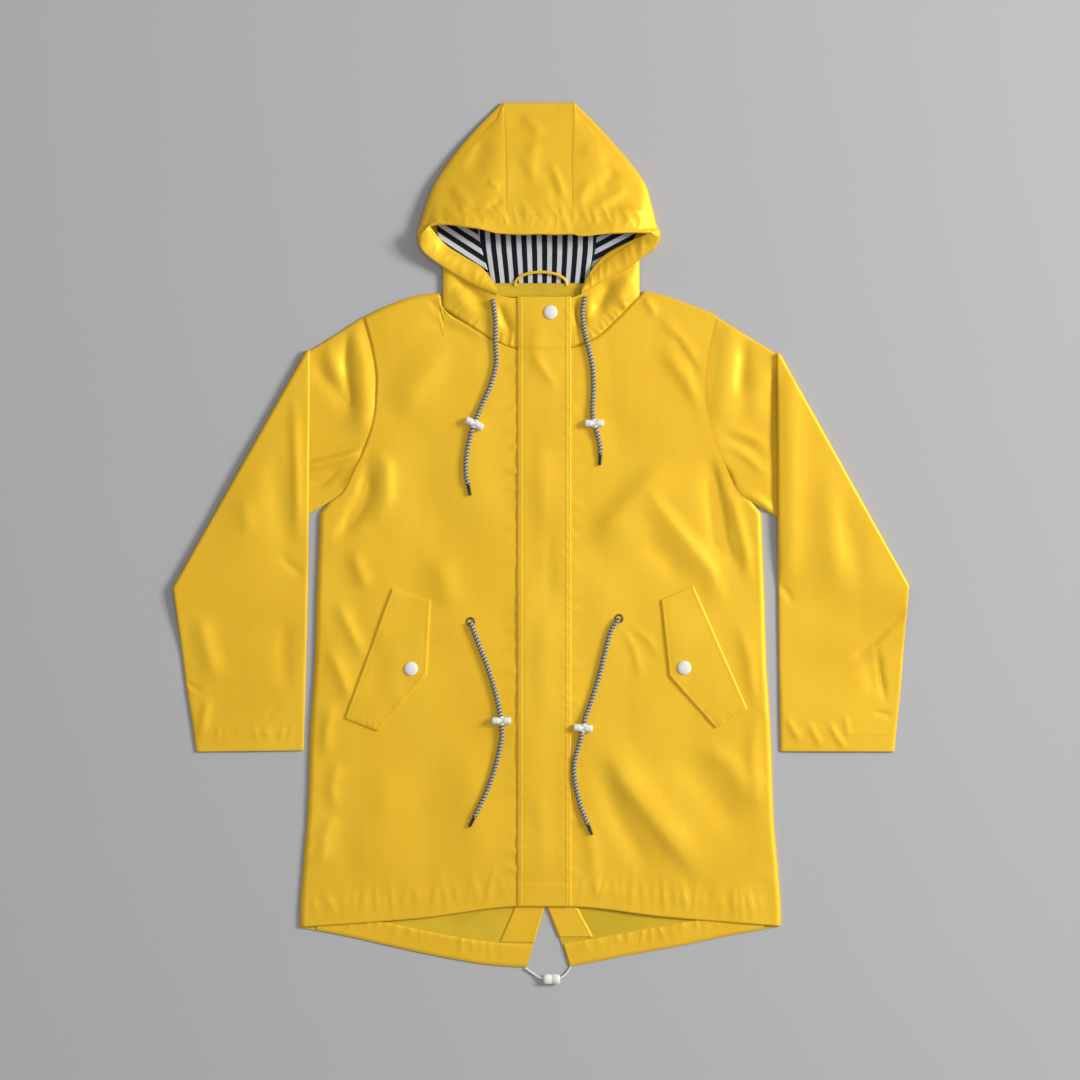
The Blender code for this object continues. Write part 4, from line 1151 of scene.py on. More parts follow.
class StitchMaker:
    """Rows of stitches, laid by Geometry Nodes along lines on the cloth."""

    def __init__(self, thread: Material) -> None:
        """Builds the node tree.

        Args:
            thread: Finish of the stitches.
        """
        self.thread = thread
        tree = bpy.data.node_groups.new("stitch_rows", "GeometryNodeTree")
        face = tree.interface
        face.new_socket("Lines", in_out="INPUT", socket_type="NodeSocketGeometry")
        self.sockets: dict[str, str] = {}
        for name, kind in (("Pitch", "NodeSocketFloat"), ("Stitch Length", "NodeSocketFloat"),
                           ("Thread Width", "NodeSocketFloat"), ("Seed", "NodeSocketInt"),
                           ("Thread", "NodeSocketMaterial")):
            self.sockets[name] = face.new_socket(name, in_out="INPUT", socket_type=kind).identifier
        face.new_socket("Stitches", in_out="OUTPUT", socket_type="NodeSocketGeometry")
        node = tree.nodes.new
        given, made = node("NodeGroupInput"), node("NodeGroupOutput")
        to_curve, spaced = node("GeometryNodeMeshToCurve"), node("GeometryNodeResampleCurve")
        spaced.mode = "LENGTH"
        tangent, turn = node("GeometryNodeInputTangent"), node("FunctionNodeAlignRotationToVector")
        turn.axis = "X"
        bead = node("GeometryNodeMeshUVSphere")
        bead.inputs["Segments"].default_value = 6
        bead.inputs["Rings"].default_value = 4
        bead.inputs["Radius"].default_value = 0.5
        chance = node("FunctionNodeRandomValue")
        chance.data_type = "FLOAT"
        low, high = (s for s in chance.inputs if s.name in ("Min", "Max") and s.type == "VALUE" and s.enabled)
        low.default_value, high.default_value = 0.86, 1.12
        longer = node("ShaderNodeMath")
        longer.operation = "MULTIPLY"
        size = node("ShaderNodeCombineXYZ")
        copies, real = node("GeometryNodeInstanceOnPoints"), node("GeometryNodeRealizeInstances")
        smooth, finish = node("GeometryNodeSetShadeSmooth"), node("GeometryNodeSetMaterial")
        wires = (
            (given, "Lines", to_curve, "Mesh"), (to_curve, "Curve", spaced, "Curve"),
            (given, "Pitch", spaced, "Length"), (spaced, "Curve", copies, "Points"),
            (bead, "Mesh", copies, "Instance"), (tangent, "Tangent", turn, "Vector"),
            (turn, "Rotation", copies, "Rotation"), (given, "Stitch Length", longer, 0),
            (longer, 0, size, "X"), (given, "Thread Width", size, "Y"), (given, "Thread Width", size, "Z"),
            (size, 0, copies, "Scale"), (copies, "Instances", real, "Geometry"),
            (real, "Geometry", smooth, 0), (smooth, 0, finish, "Geometry"),
            (given, "Thread", finish, "Material"), (finish, "Geometry", made, "Stitches"),
        )
        for source, out, target, into in wires:
            tree.links.new(source.outputs[out], target.inputs[into])
        tree.links.new(given.outputs["Seed"], next(s for s in chance.inputs if s.name == "Seed"))
        drawn = next(s for s in chance.outputs if s.type == "VALUE" and s.enabled)
        tree.links.new(drawn, longer.inputs[1])
        self.tree = tree

    def rows(self, name: str, lines: Sequence[Sequence[Triple]], pitch: float = 0.0034,
             length: float = 0.0025, width: float = 0.0006, seed: int = 7) -> Piece:
        """Lays stitches along lines.

        Args:
            name: Name of the piece.
            lines: Places of each line.
            pitch: From one stitch to the next.
            length: Length of a stitch.
            width: Width of the thread.
            seed: Seed of the small differences between stitches.

        Returns:
            The stitches as a plain mesh.
        """
        points = [spot for line in lines for spot in line]
        edges: list[tuple[int, int]] = []
        start = 0
        for line in lines:
            edges += [(start + k, start + k + 1) for k in range(len(line) - 1)]
            start += len(line)
        made = mesh_object(name, np.array(points), [], edges)
        modifier = made.modifiers.new("Stitches", "NODES")
        modifier.node_group = self.tree
        given = {"Pitch": pitch, "Stitch Length": length, "Thread Width": width, "Seed": seed,
                 "Thread": self.thread}
        for socket, value in given.items():
            modifier[self.sockets[socket]] = value
        graph = bpy.context.evaluated_depsgraph_get()
        mesh = bpy.data.meshes.new_from_object(made.evaluated_get(graph), depsgraph=graph)
        made.modifiers.clear()
        made.data = mesh
        mesh.name = name
        if not mesh.materials:
            mesh.materials.append(self.thread)
        return made


@dataclass
class Bench:
    """What every sub-assembly shares."""

    form: CoatForm
    finishes: Finishes
    stitches: StitchMaker


# Body

FRONT_RELIEF: Relief = (
    Swell(0.00045, 0.07, 0.22, 11),
    # Left front: chest fold, shoulder pinch, underarm hollow and the arch beside it.
    Crease(((-0.108, 0.238), (-0.140, 0.190), (-0.176, 0.138)), 0.018, 0.0024, lean=0.2),
    Crease(((-0.146, 0.262), (-0.108, 0.246), (-0.066, 0.230)), 0.008, -0.0017),
    Crease(((-0.136, 0.284), (-0.124, 0.272), (-0.110, 0.262)), 0.004, -0.0016),
    Crease(((-0.206, 0.092), (-0.213, 0.046), (-0.234, 0.010), (-0.250, -0.008)), 0.0075, -0.0046, lean=-0.3),
    Crease(((-0.204, 0.108), (-0.184, 0.080), (-0.184, 0.044), (-0.202, 0.010)), 0.0105, 0.0032, lean=0.3),
    Crease(((-0.226, -0.014), (-0.219, -0.038), (-0.206, -0.070)), 0.0090, 0.0023, 0.3),
    Crease(((-0.246, -0.074), (-0.232, -0.105), (-0.209, -0.154)), 0.0085, 0.0024, 0.3),
    Crease(((-0.256, -0.132), (-0.240, -0.165), (-0.226, -0.204)), 0.0085, 0.0022, 0.3),
    Crease(((-0.246, -0.196), (-0.256, -0.232), (-0.260, -0.272)), 0.0080, 0.0020, 0.3),
    Crease(((-0.240, -0.268), (-0.250, -0.300), (-0.247, -0.334)), 0.0085, 0.0019, 0.3),
    Crease(((-0.246, -0.330), (-0.258, -0.362), (-0.262, -0.404)), 0.0085, 0.0018, 0.3),
    Crease(((-0.128, -0.020), (-0.116, -0.050), (-0.104, -0.096)), 0.014, 0.0016),
    Crease(((-0.160, 0.110), (-0.140, 0.030), (-0.100, -0.050)), 0.030, -0.0014),
    Crease(((-0.085, 0.190), (-0.078, 0.100), (-0.060, 0.000)), 0.024, 0.0010),
    Crease(((-0.176, -0.270), (-0.196, -0.350), (-0.205, -0.430)), 0.024, 0.0014),
    Crease(((-0.098, -0.230), (-0.082, -0.320), (-0.078, -0.420)), 0.022, 0.0012),
    Crease(((-0.140, -0.250), (-0.134, -0.340), (-0.140, -0.430)), 0.026, -0.0013),
    Crease(((-0.084, -0.104), (-0.110, -0.120), (-0.132, -0.130)), 0.005, 0.0007, 0.5),
    Gathers(((-0.0290, 0.215), (-0.0290, -0.430)), 0.024, 0.0010, 0.011, 0.0048, 5, 0.25),
    Gathers(((-0.280, -0.4435), (-0.150, -0.4330), (-0.030, -0.4190)), 0.0125, 0.0008, 0.016, 0.0032, 21),
    Gathers(((-0.268, 0.010), (-0.282, -0.440)), 0.030, 0.0012, 0.016, 0.0075, 33, 0.5),
    # Right front: the two long folds from the chest, the underarm hollow, and the fold above the hem.
    Crease(((0.160, 0.094), (0.108, 0.038), (0.058, -0.022)), 0.020, 0.0038, lean=-0.25),
    Crease(((0.118, 0.066), (0.148, 0.026), (0.203, -0.042), (0.224, -0.098)), 0.0125, 0.0036, 0.2, lean=0.3),
    Crease(((0.120, 0.000), (0.150, -0.030), (0.172, -0.060)), 0.014, -0.0018),
    Crease(((0.205, 0.108), (0.209, 0.056), (0.218, -0.008), (0.243, -0.052)), 0.0100, -0.0042, lean=0.3),
    Crease(((0.224, 0.070), (0.233, 0.030), (0.246, -0.018), (0.252, -0.070)), 0.0070, 0.0022),
    Crease(((0.138, 0.268), (0.166, 0.236), (0.197, 0.190)), 0.0075, 0.0019, 0.2),
    Crease(((0.150, 0.252), (0.176, 0.216), (0.198, 0.178)), 0.0060, -0.0015),
    Crease(((0.140, 0.232), (0.172, 0.190), (0.203, 0.142)), 0.0090, 0.0020),
    Crease(((0.122, 0.286), (0.130, 0.276), (0.140, 0.262)), 0.0050, 0.0020, 0.4),
    Crease(((0.096, -0.108), (0.112, -0.136), (0.122, -0.176)), 0.0050, 0.0011, 0.4),
    Crease(((0.102, -0.104), (0.128, -0.124), (0.146, -0.150)), 0.0045, 0.0010, 0.4),
    Crease(((0.076, -0.236), (0.102, -0.296), (0.146, -0.352), (0.206, -0.424)), 0.0165, 0.0046, lean=-0.25),
    Crease(((0.060, -0.256), (0.088, -0.330), (0.140, -0.420)), 0.0140, -0.0024),
    Crease(((0.150, -0.252), (0.196, -0.300), (0.250, -0.372)), 0.0200, -0.0022),
    Crease(((0.184, -0.246), (0.226, -0.274), (0.262, -0.330)), 0.0130, 0.0020),
    Crease(((0.262, -0.200), (0.254, -0.260), (0.262, -0.340)), 0.0090, 0.0016),
    Crease(((0.236, -0.100), (0.250, -0.150), (0.258, -0.210)), 0.0085, 0.0018, 0.3),
    Crease(((0.080, 0.180), (0.092, 0.090), (0.084, 0.010)), 0.020, -0.0014),
    Crease(((0.052, -0.320), (0.062, -0.380), (0.066, -0.430)), 0.0080, 0.0012),
    Gathers(((0.0385, 0.200), (0.0385, -0.430)), 0.028, 0.0007, 0.008, 0.0050, 9, -0.2),
    Gathers(((0.045, -0.4200), (0.150, -0.4315), (0.280, -0.4425)), 0.0120, 0.0011, 0.017, 0.0032, 22),
    Gathers(((0.268, 0.010), (0.282, -0.440)), 0.034, 0.0010, 0.014, 0.0080, 35, -0.5),
)


@dataclass
class Body:
    """Fronts, back, turned-up hems and vent facings."""

    bench: Bench
    columns: int = 112
    rows: int = 250
    back_cloth: float = 0.0012
    hem_stitch: float = 0.0262
    hem_depth: float = 0.027
    facing_width: float = 0.042
    vent_apex: Pair = (0.0066, -0.4440)
    vent_reach: float = 0.0300

    def build(self) -> list[Piece]:
        """Makes the body.

        Returns:
            The two fronts and the back.
        """
        fronts = [self.front(side) for side in Side]
        back = self.back()
        self.back_hems()
        self.vent_facings()
        self.seam_stitches(Ground(fronts))
        return [*fronts, back]

    def front(self, side: Side) -> Piece:
        """One front, from the closure to the side seam."""
        form = self.bench.form
        inner = CLOSURE_X * side.value / form.shoulder_half
        even = np.linspace(inner, 1.0, self.columns - 12)
        shares = np.sort(np.unique(np.concatenate([even, 1 - 0.035 * (1 - np.linspace(0, 1, 14)) ** 1.5])))
        rows = np.unique(np.concatenate([np.linspace(0, 1, self.rows), 0.006 * np.linspace(0, 1, 6),
                                         1 - 0.010 * np.linspace(0, 1, 8) ** 1.5]))
        x, y = form.grid(form.upper, form.front_hem, shares * side.value, rows)
        x[:, 0] = CLOSURE_X + side.value * 0.0003
        top = form.front_height(x, y, FRONT_RELIEF)
        made = sheet_shell(f"cloth_front_{side.word}", x, y, top, form.cloth)
        dress(made, self.bench.finishes.cloth, Slot.CLOTH, f"front_{side.word}")
        return made

    def back(self) -> Piece:
        """Back panel, flat underneath, its tail split by the vent."""
        form = self.bench.form
        apex_x, apex_y = self.vent_apex
        shares = np.linspace(-1, 1, 121)
        rows = np.concatenate([np.linspace(0, 0.16, 34), np.linspace(0.18, 1.0, 60)])
        x, y = form.grid(form.back_upper, form.tail, shares, rows)
        below = np.clip((apex_y - y) / (apex_y + 0.5184), 0, 1)
        middle = apex_x + below * np.where(x < apex_x, -0.0228, 0.0288)
        aside = x - apex_x
        moved = middle + aside * (1 - np.abs(middle - apex_x) / self.vent_reach)
        x = np.where((below > 0) & (np.abs(aside) < self.vent_reach), moved, x)
        inset = 0.0022 * ease((np.abs(x) - 0.9 * form.widths(y)) / 0.02) * (y < 0.03) * (y > -0.466)
        x = x - np.sign(x) * inset
        top, under = np.full(x.shape, self.back_cloth), np.zeros(x.shape)
        cut = int(np.argmin(np.abs(shares * form.hem_half - apex_x)))
        faces = np.dstack([x, y, top]), np.dstack([x, y, under])
        halves = (slice(0, cut + 1), slice(cut + 1, None))
        shells = [closed_shell("half", *(grid[:, half] for grid in faces)) for half in halves]
        made = joined("cloth_back", shells)
        for material in (self.bench.finishes.inside, self.bench.finishes.cloth):
            made.data.materials.append(material)
        for face in made.data.polygons:
            face.material_index = int(face.normal.z < 0.5)
        dress(made, self.bench.finishes.inside, Slot.CLOTH, "back")
        return made

    def back_hems(self) -> None:
        """Turned-up hem on each side of the vent."""
        form, finishes = self.bench.form, self.bench.finishes
        lines = []
        for side, start, end in ((Side.LEFT, -0.268, -0.0165), (Side.RIGHT, 0.0360, 0.268)):
            along = np.linspace(start, end, 130)
            t = np.linspace(0, 1, 14)[:, None]
            lower = form.tail(along) + 0.0004
            y = lower[None, :] + self.hem_depth * t
            from_start = along - start
            share = ease(from_start / (end - start) * 4 - 3 if side is Side.LEFT else 1 - from_start / 0.06)
            x = along[None, :] - 0.0078 * side.value * share[None, :] * t
            gathered = tuple(zip(along[::12], lower[::12] + self.hem_depth - 0.003))
            ripple = Gathers(gathered, 0.013, 0.0007, 0.012, 0.003, 40 + side.value)
            top = 0.0016 + 0.0011 * rounded(t / 0.06) * rounded((1 - t) / 0.10) + 0 * x + ripple.lift(x, y)
            made = sheet_shell(f"cloth_back_hem_{side.word}", x, y, np.maximum(top, 0.0014), 0.0010,
                               floor=0.00121)
            dress(made, finishes.cloth, Slot.CLOTH, f"back_hem_{side.word}")
            lines.append(Ground([made]).along(list(zip(along[2:-2], lower[2:-2] + self.hem_depth - 0.0028))))
        dress(self.bench.stitches.rows("stitches_back_hem", lines, seed=3), finishes.thread, None)

    def vent_facings(self) -> None:
        """Facing along each edge of the vent."""
        form, finishes = self.bench.form, self.bench.finishes
        apex_x, apex_y = self.vent_apex
        lines = []
        for side, foot in ((Side.LEFT, (-0.0162, -0.5184)), (Side.RIGHT, (0.0354, -0.5172))):
            width = self.facing_width * side.value
            low = float(form.tail(foot[0] + width)) + self.hem_depth + 0.0010
            y = np.linspace(low, -0.4340, 30)
            slope = (foot[0] - apex_x) / (foot[1] - apex_y)
            edge = apex_x + np.minimum(y - apex_y, 0.0) * slope + side.value * 0.0004
            far = edge + width * (1 - 0.12 * ease((y - apex_y + 0.05) / 0.05))
            t = np.linspace(0, 1, 34)[None, :]
            x = between(edge[:, None], far[:, None], t)
            top = 0.0014 + 0.0011 * rounded(t / 0.04) * rounded((1 - t) / 0.05) + 0 * x
            up = np.repeat(y[:, None], x.shape[1], axis=1)
            made = sheet_shell(f"cloth_vent_facing_{side.word}", x, up, top, 0.0010, floor=0.00121)
            dress(made, finishes.cloth, Slot.CLOTH, f"vent_facing_{side.word}")
            ground = Ground([made])
            lines += [ground.along(list(zip(edge + side.value * inset, y))) for inset in (0.003, 0.0375)]
        dress(self.bench.stitches.rows("stitches_vent", lines, seed=4), finishes.thread, None)

    def seam_stitches(self, ground: Ground) -> None:
        """Stitches along the front hem and the shoulders."""
        form = self.bench.form
        lines = []
        for start, end in ((-0.283, -0.030), (0.039, 0.284)):
            along = np.linspace(start, end, 60)
            lines.append(ground.along(list(zip(along, form.front_hem(along) + self.hem_stitch))))
        for start, end in ((-0.207, -0.124), (0.127, 0.207)):
            along = np.linspace(start, end, 30)
            lines.append(ground.along(list(zip(along, form.upper(along) - 0.0045))))
        dress(self.bench.stitches.rows("stitches_fronts", lines, seed=5), self.bench.finishes.thread, None)


@dataclass
class Placket:
    """Storm flap over the closure."""

    bench: Bench
    left: float = -0.0276
    right: float = 0.0366
    bottom: float = -0.4450
    top: float = 0.2856
    rise: float = 0.0022
    seams: tuple[float, ...] = (-0.0258, -0.0200, 0.0290, 0.0340)
    relief: Relief = (
        Swell(0.00035, 0.05, 0.16, 61),
        Crease(((-0.012, 0.222), (0.004, 0.198), (0.022, 0.172)), 0.0065, 0.0011, 0.2),
        Crease(((-0.004, 0.262), (-0.006, 0.220), (-0.003, 0.180)), 0.0090, 0.0008),
        Crease(((0.002, 0.140), (0.001, 0.060), (0.004, -0.020)), 0.0110, 0.0008),
        Crease(((0.006, -0.080), (0.002, -0.160), (0.005, -0.240)), 0.0120, 0.0008),
        Crease(((-0.008, -0.290), (0.002, -0.350), (0.004, -0.420)), 0.0110, 0.0008),
        Crease(((0.012, 0.020), (0.010, -0.090)), 0.0080, -0.0006),
        Gathers(((-0.0229, 0.280), (-0.0229, -0.440)), 0.0105, 0.00035, 0.0045, 0.0026, 63, 0.4),
        Gathers(((0.0315, 0.280), (0.0315, -0.440)), 0.0120, 0.00035, 0.0045, 0.0028, 64, -0.4),
    )

    def build(self, neck_relief: Relief) -> Piece:
        """Makes the placket.

        Args:
            neck_relief: Folds of the lower hood that it lies on.

        Returns:
            The placket.
        """
        edge = 0.0024 * (1 - np.cos(np.linspace(0, math.pi / 2, 6)))
        middle = np.linspace(self.left + 0.0026, self.right - 0.0026, 62)
        across = np.unique(np.concatenate([self.left + edge, middle, self.right - edge]))
        ends = 0.003 * (1 - np.cos(np.linspace(0, math.pi / 2, 6)))
        middle = np.linspace(self.bottom + 0.004, self.top - 0.004, 360)
        up = np.unique(np.concatenate([self.bottom + ends, middle, self.top - ends]))
        x, y = np.meshgrid(across, up)
        made = sheet_shell("cloth_placket", x, y, self.height(x, y, neck_relief), 0.0018)
        dress(made, self.bench.finishes.cloth, Slot.CLOTH, "placket")
        ground = Ground([made])
        lines = [ground.along([(seam, self.bottom + 0.002), (seam, self.top - 0.003)]) for seam in self.seams]
        foot = self.bottom + 0.006
        lines.append(ground.along([(self.left + 0.003, foot), (self.right - 0.003, foot)]))
        dress(self.bench.stitches.rows("stitches_placket", lines, seed=6), self.bench.finishes.thread, None)
        return made

    def height(self, x: Array, y: Array, neck_relief: Relief) -> Array:
        """Upper face of the placket.

        Args:
            x: Places across.
            y: Places up.
            neck_relief: Folds of the lower hood.

        Returns:
            Heights.
        """
        form = self.bench.form
        seam = form.neck(x)
        under_neck = form.neck_height(x, np.maximum(y, seam), ())
        calm = form.front_height(x, np.minimum(y, seam - 0.006), FRONT_RELIEF[:1])
        under = calm + (under_neck - calm) * ease((y - seam + 0.010) / 0.022)
        base = under + self.rise + relief_height(self.relief, x, y)
        for place in self.seams:
            base = base - 0.00022 * np.exp(-(((x - place) / 0.0009) ** 2))
        swell = np.exp(-(((x + 0.0229) / 0.0018) ** 2)) + np.exp(-(((x - 0.0315) / 0.0016) ** 2))
        base = base + 0.0001 * swell
        near = np.minimum(np.minimum(x - self.left, self.right - x),
                          np.minimum(y - self.bottom, self.top - y))
        return base - 0.0008 * (1 - rounded(near / 0.0016))


@dataclass
class PocketFlaps:
    """Five-sided flap on each front."""

    bench: Bench
    left: tuple[Pair, ...] = ((-0.1776, -0.0640), (-0.1316, -0.0782), (-0.1362, -0.1678), (-0.1945, -0.2344),
                              (-0.2342, -0.2195))
    right: tuple[Pair, ...] = ((0.1831, -0.0610), (0.1445, -0.0778), (0.1543, -0.1688), (0.2101, -0.2316),
                               (0.2480, -0.2090))
    rise: float = 0.0022
    stitch_inset: float = 0.0050

    def build(self) -> list[Piece]:
        """Makes both flaps with their stitches.

        Returns:
            The flaps.
        """
        made = []
        lines = []
        for side, corners in ((Side.LEFT, self.left), (Side.RIGHT, self.right)):
            flap = self.flap(side, np.array(corners))
            made.append(flap)
            inset = self.inset(np.array(corners), np.mean(corners, axis=0))
            lines.append(Ground([flap]).along([tuple(inset[k]) for k in (0, 4, 3, 2, 1)]))
        dress(self.bench.stitches.rows("stitches_flaps", lines, seed=8), self.bench.finishes.thread, None)
        return made

    def inset(self, corners: Array, middle: Array) -> Array:
        """Corners moved in by the stitch's distance from the edges."""
        moved = []
        for k in range(len(corners)):
            before, here, after = corners[k - 1], corners[k], corners[(k + 1) % len(corners)]
            first, second = here - before, after - here
            first, second = first / np.linalg.norm(first), second / np.linalg.norm(second)
            inward = np.array([-first[1], first[0]]) + np.array([-second[1], second[0]])
            inward = inward / (1 + float(first @ second))
            if float(inward @ (middle - here)) < 0:
                inward = -inward
            moved.append(here + inward * self.stitch_inset)
        return np.array(moved)

    def flap(self, side: Side, corners: Array) -> Piece:
        """One flap: a rounded double cloth over the front."""
        a, b, c, d, e = corners
        steps = np.linspace(0, 1, 40)[:, None]
        inner = np.vstack([b + (c - b) * steps, c + (d - c) * steps[1:]])
        outer = a + (e - a) * np.linspace(0, 1, len(inner))[:, None]
        even = np.linspace(0, 1, 46)
        t = 0.35 * (0.5 - 0.5 * np.cos(even * math.pi)) + 0.65 * even
        grid = between(outer[:, None, :], inner[:, None, :], t[None, :, None])
        x, y = grid[..., 0], grid[..., 1]
        form = self.bench.form
        ring = np.vstack([corners, corners[:1]])
        distance = np.abs(distance_to(ring, x, y)[0])
        relief: Relief = (
            Swell(0.00030, 0.03, 0.09, 71 + side.value),
            Gathers((tuple(c), tuple(d)), 0.0085, 0.0004, 0.007, 0.0025, 73 + side.value),
            Gathers((tuple(d), tuple(e)), 0.0085, 0.0004, 0.007, 0.0025, 75 + side.value),
        )
        calm, full = form.front_height(x, y, FRONT_RELIEF[:1]), form.front_height(x, y, FRONT_RELIEF)
        top = np.maximum(calm + 0.55 * (full - calm), full - 0.0008) + self.rise + relief_height(relief, x, y)
        top = top - 0.0006 * (1 - rounded(distance / 0.0014))
        top = top - 0.00015 * np.exp(-(((distance - self.stitch_inset) / 0.0009) ** 2))
        made = sheet_shell(f"cloth_pocket_flap_{side.word}", x, y, top, 0.0020)
        dress(made, self.bench.finishes.cloth, Slot.CLOTH, f"pocket_flap_{side.word}")
        f"front_{side.word}"
        return made


# Sleeves

UPPER_ARM_LEFT: Relief = (
    Crease(((-0.226, 0.262), (-0.213, 0.205), (-0.209, 0.156), (-0.216, 0.112)), 0.0115, 0.0036, lean=0.2,
           fade=0.2),
    Crease(((-0.230, 0.252), (-0.234, 0.210), (-0.226, 0.134)), 0.0060, -0.0036, 0.3),
    Crease(((-0.276, 0.220), (-0.262, 0.192), (-0.240, 0.166), (-0.226, 0.140)), 0.0085, -0.0024),
    Crease(((-0.256, 0.236), (-0.250, 0.205), (-0.240, 0.180)), 0.0080, 0.0018),
    Crease(((-0.290, 0.087), (-0.252, 0.098), (-0.212, 0.107)), 0.0032, -0.0022, 0.4, fade=0.2),
    Crease(((-0.290, 0.079), (-0.246, 0.090), (-0.212, 0.101)), 0.0052, 0.0028, fade=0.2),
    Crease(((-0.290, 0.060), (-0.262, 0.063), (-0.234, 0.085)), 0.0050, -0.0024, 0.2),
    Crease(((-0.238, 0.050), (-0.224, 0.074), (-0.211, 0.096)), 0.0042, 0.0024),
    Swell(0.0004, 0.05, 0.12, 81),
)
UPPER_ARM_RIGHT: Relief = (
    Crease(((0.228, 0.262), (0.223, 0.190), (0.218, 0.126)), 0.0150, 0.0026, fade=0.2),
    Crease(((0.246, 0.240), (0.243, 0.205), (0.237, 0.160)), 0.0075, -0.0026),
    Crease(((0.268, 0.210), (0.260, 0.172), (0.254, 0.130)), 0.0110, 0.0018),
    Crease(((0.285, 0.212), (0.284, 0.130), (0.284, 0.030)), 0.0070, -0.0022, fade=0.15),
    Crease(((0.216, 0.130), (0.244, 0.122), (0.276, 0.108)), 0.0050, 0.0017, 0.2),
    Crease(((0.218, 0.116), (0.246, 0.107), (0.276, 0.090)), 0.0040, -0.0014),
    Crease(((0.222, 0.108), (0.246, 0.095), (0.274, 0.070)), 0.0052, 0.0017, 0.2),
    Crease(((0.240, 0.050), (0.258, 0.044), (0.284, 0.026)), 0.0050, 0.0030, 0.2),
    Crease(((0.219, 0.086), (0.227, 0.064), (0.234, 0.044)), 0.0045, -0.0026),
    Swell(0.0004, 0.05, 0.12, 82),
)
FOREARM_LEFT: Relief = (
    Swell(0.0004, 0.07, 0.18, 83),
    Crease(((-0.322, 0.120), (-0.314, 0.040), (-0.300, -0.030)), 0.0140, -0.0016),
    Crease(((-0.316, -0.020), (-0.300, -0.036), (-0.281, -0.050)), 0.0040, -0.0016, 0.4),
    Crease(((-0.296, 0.180), (-0.292, 0.080), (-0.290, -0.020)), 0.0060, 0.0020),
    Crease(((-0.410, -0.088), (-0.402, -0.130), (-0.386, -0.182)), 0.0120, 0.0026, 0.2),
    Crease(((-0.398, -0.192), (-0.404, -0.222), (-0.406, -0.246)), 0.0055, 0.0014),
    Crease(((-0.430, -0.176), (-0.420, -0.180), (-0.404, -0.188)), 0.0022, -0.0018, 0.5),
    Crease(((-0.340, -0.236), (-0.322, -0.212), (-0.304, -0.192)), 0.0020, -0.0007, 0.5),
    Crease(((-0.306, -0.090), (-0.309, -0.140), (-0.306, -0.196)), 0.0110, -0.0014),
    Crease(((-0.358, 0.050), (-0.352, 0.020), (-0.348, -0.004)), 0.0100, 0.0012),
    Crease(((-0.300, 0.150), (-0.350, 0.030), (-0.390, -0.060)), 0.0260, 0.0014),
    Gathers(((-0.412, -0.2365), (-0.290, -0.2385)), 0.0150, 0.0007, 0.010, 0.0032, 85),
)
FOREARM_RIGHT: Relief = (
    Swell(0.0004, 0.07, 0.18, 84),
    Crease(((0.298, 0.205), (0.300, 0.110), (0.299, 0.000), (0.296, -0.070)), 0.0130, 0.0024, fade=0.14),
    Crease(((0.345, 0.090), (0.350, 0.000), (0.356, -0.080)), 0.0160, 0.0022),
    Crease(((0.352, 0.070), (0.372, -0.010), (0.384, -0.080)), 0.0150, -0.0020),
    Crease(((0.441, -0.086), (0.404, -0.122), (0.372, -0.150)), 0.0050, -0.0016, 0.3, fade=0.2),
    Crease(((0.438, -0.102), (0.408, -0.133), (0.380, -0.161)), 0.0065, 0.0011),
    Crease(((0.402, -0.124), (0.407, -0.168), (0.415, -0.208)), 0.0040, -0.0020, 0.4),
    Crease(((0.392, -0.134), (0.396, -0.164), (0.404, -0.196)), 0.0105, -0.0016),
    Crease(((0.284, -0.056), (0.296, -0.070), (0.304, -0.084)), 0.0045, -0.0014, 0.4),
    Crease(((0.294, -0.216), (0.302, -0.232), (0.314, -0.250)), 0.0042, 0.0016, 0.3),
    Crease(((0.320, -0.222), (0.328, -0.238), (0.338, -0.256)), 0.0036, 0.0014, 0.3),
    Crease(((0.344, -0.222), (0.354, -0.240), (0.368, -0.260)), 0.0034, 0.0016, 0.3),
    Crease(((0.364, -0.212), (0.367, -0.228), (0.370, -0.246)), 0.0034, 0.0011, 0.3),
    Crease(((0.398, -0.212), (0.410, -0.214), (0.424, -0.218)), 0.0034, -0.0010, 0.3),
)


ARMHOLE_TOP = np.array((0.2116, 0.2622))
ARMHOLE_FOOT = np.array(UNDERARM) + np.array((0.0004, 0.0006))


@dataclass(frozen=True)
class SleevePlan:
    """Corners of one laid sleeve, as on the right side, and its folds."""

    side: Side
    fold_corner: Pair
    elbow_corner: Pair
    cuff_inner: Pair
    cuff_outer: Pair
    inner_bow: float
    upper: Relief
    lower: Relief

    @property
    def out(self) -> Array:
        """Direction across the fold, away from the body."""
        fold = np.array(self.elbow_corner) - np.array(self.fold_corner)
        return np.array([-fold[1], fold[0]]) / np.linalg.norm(fold)


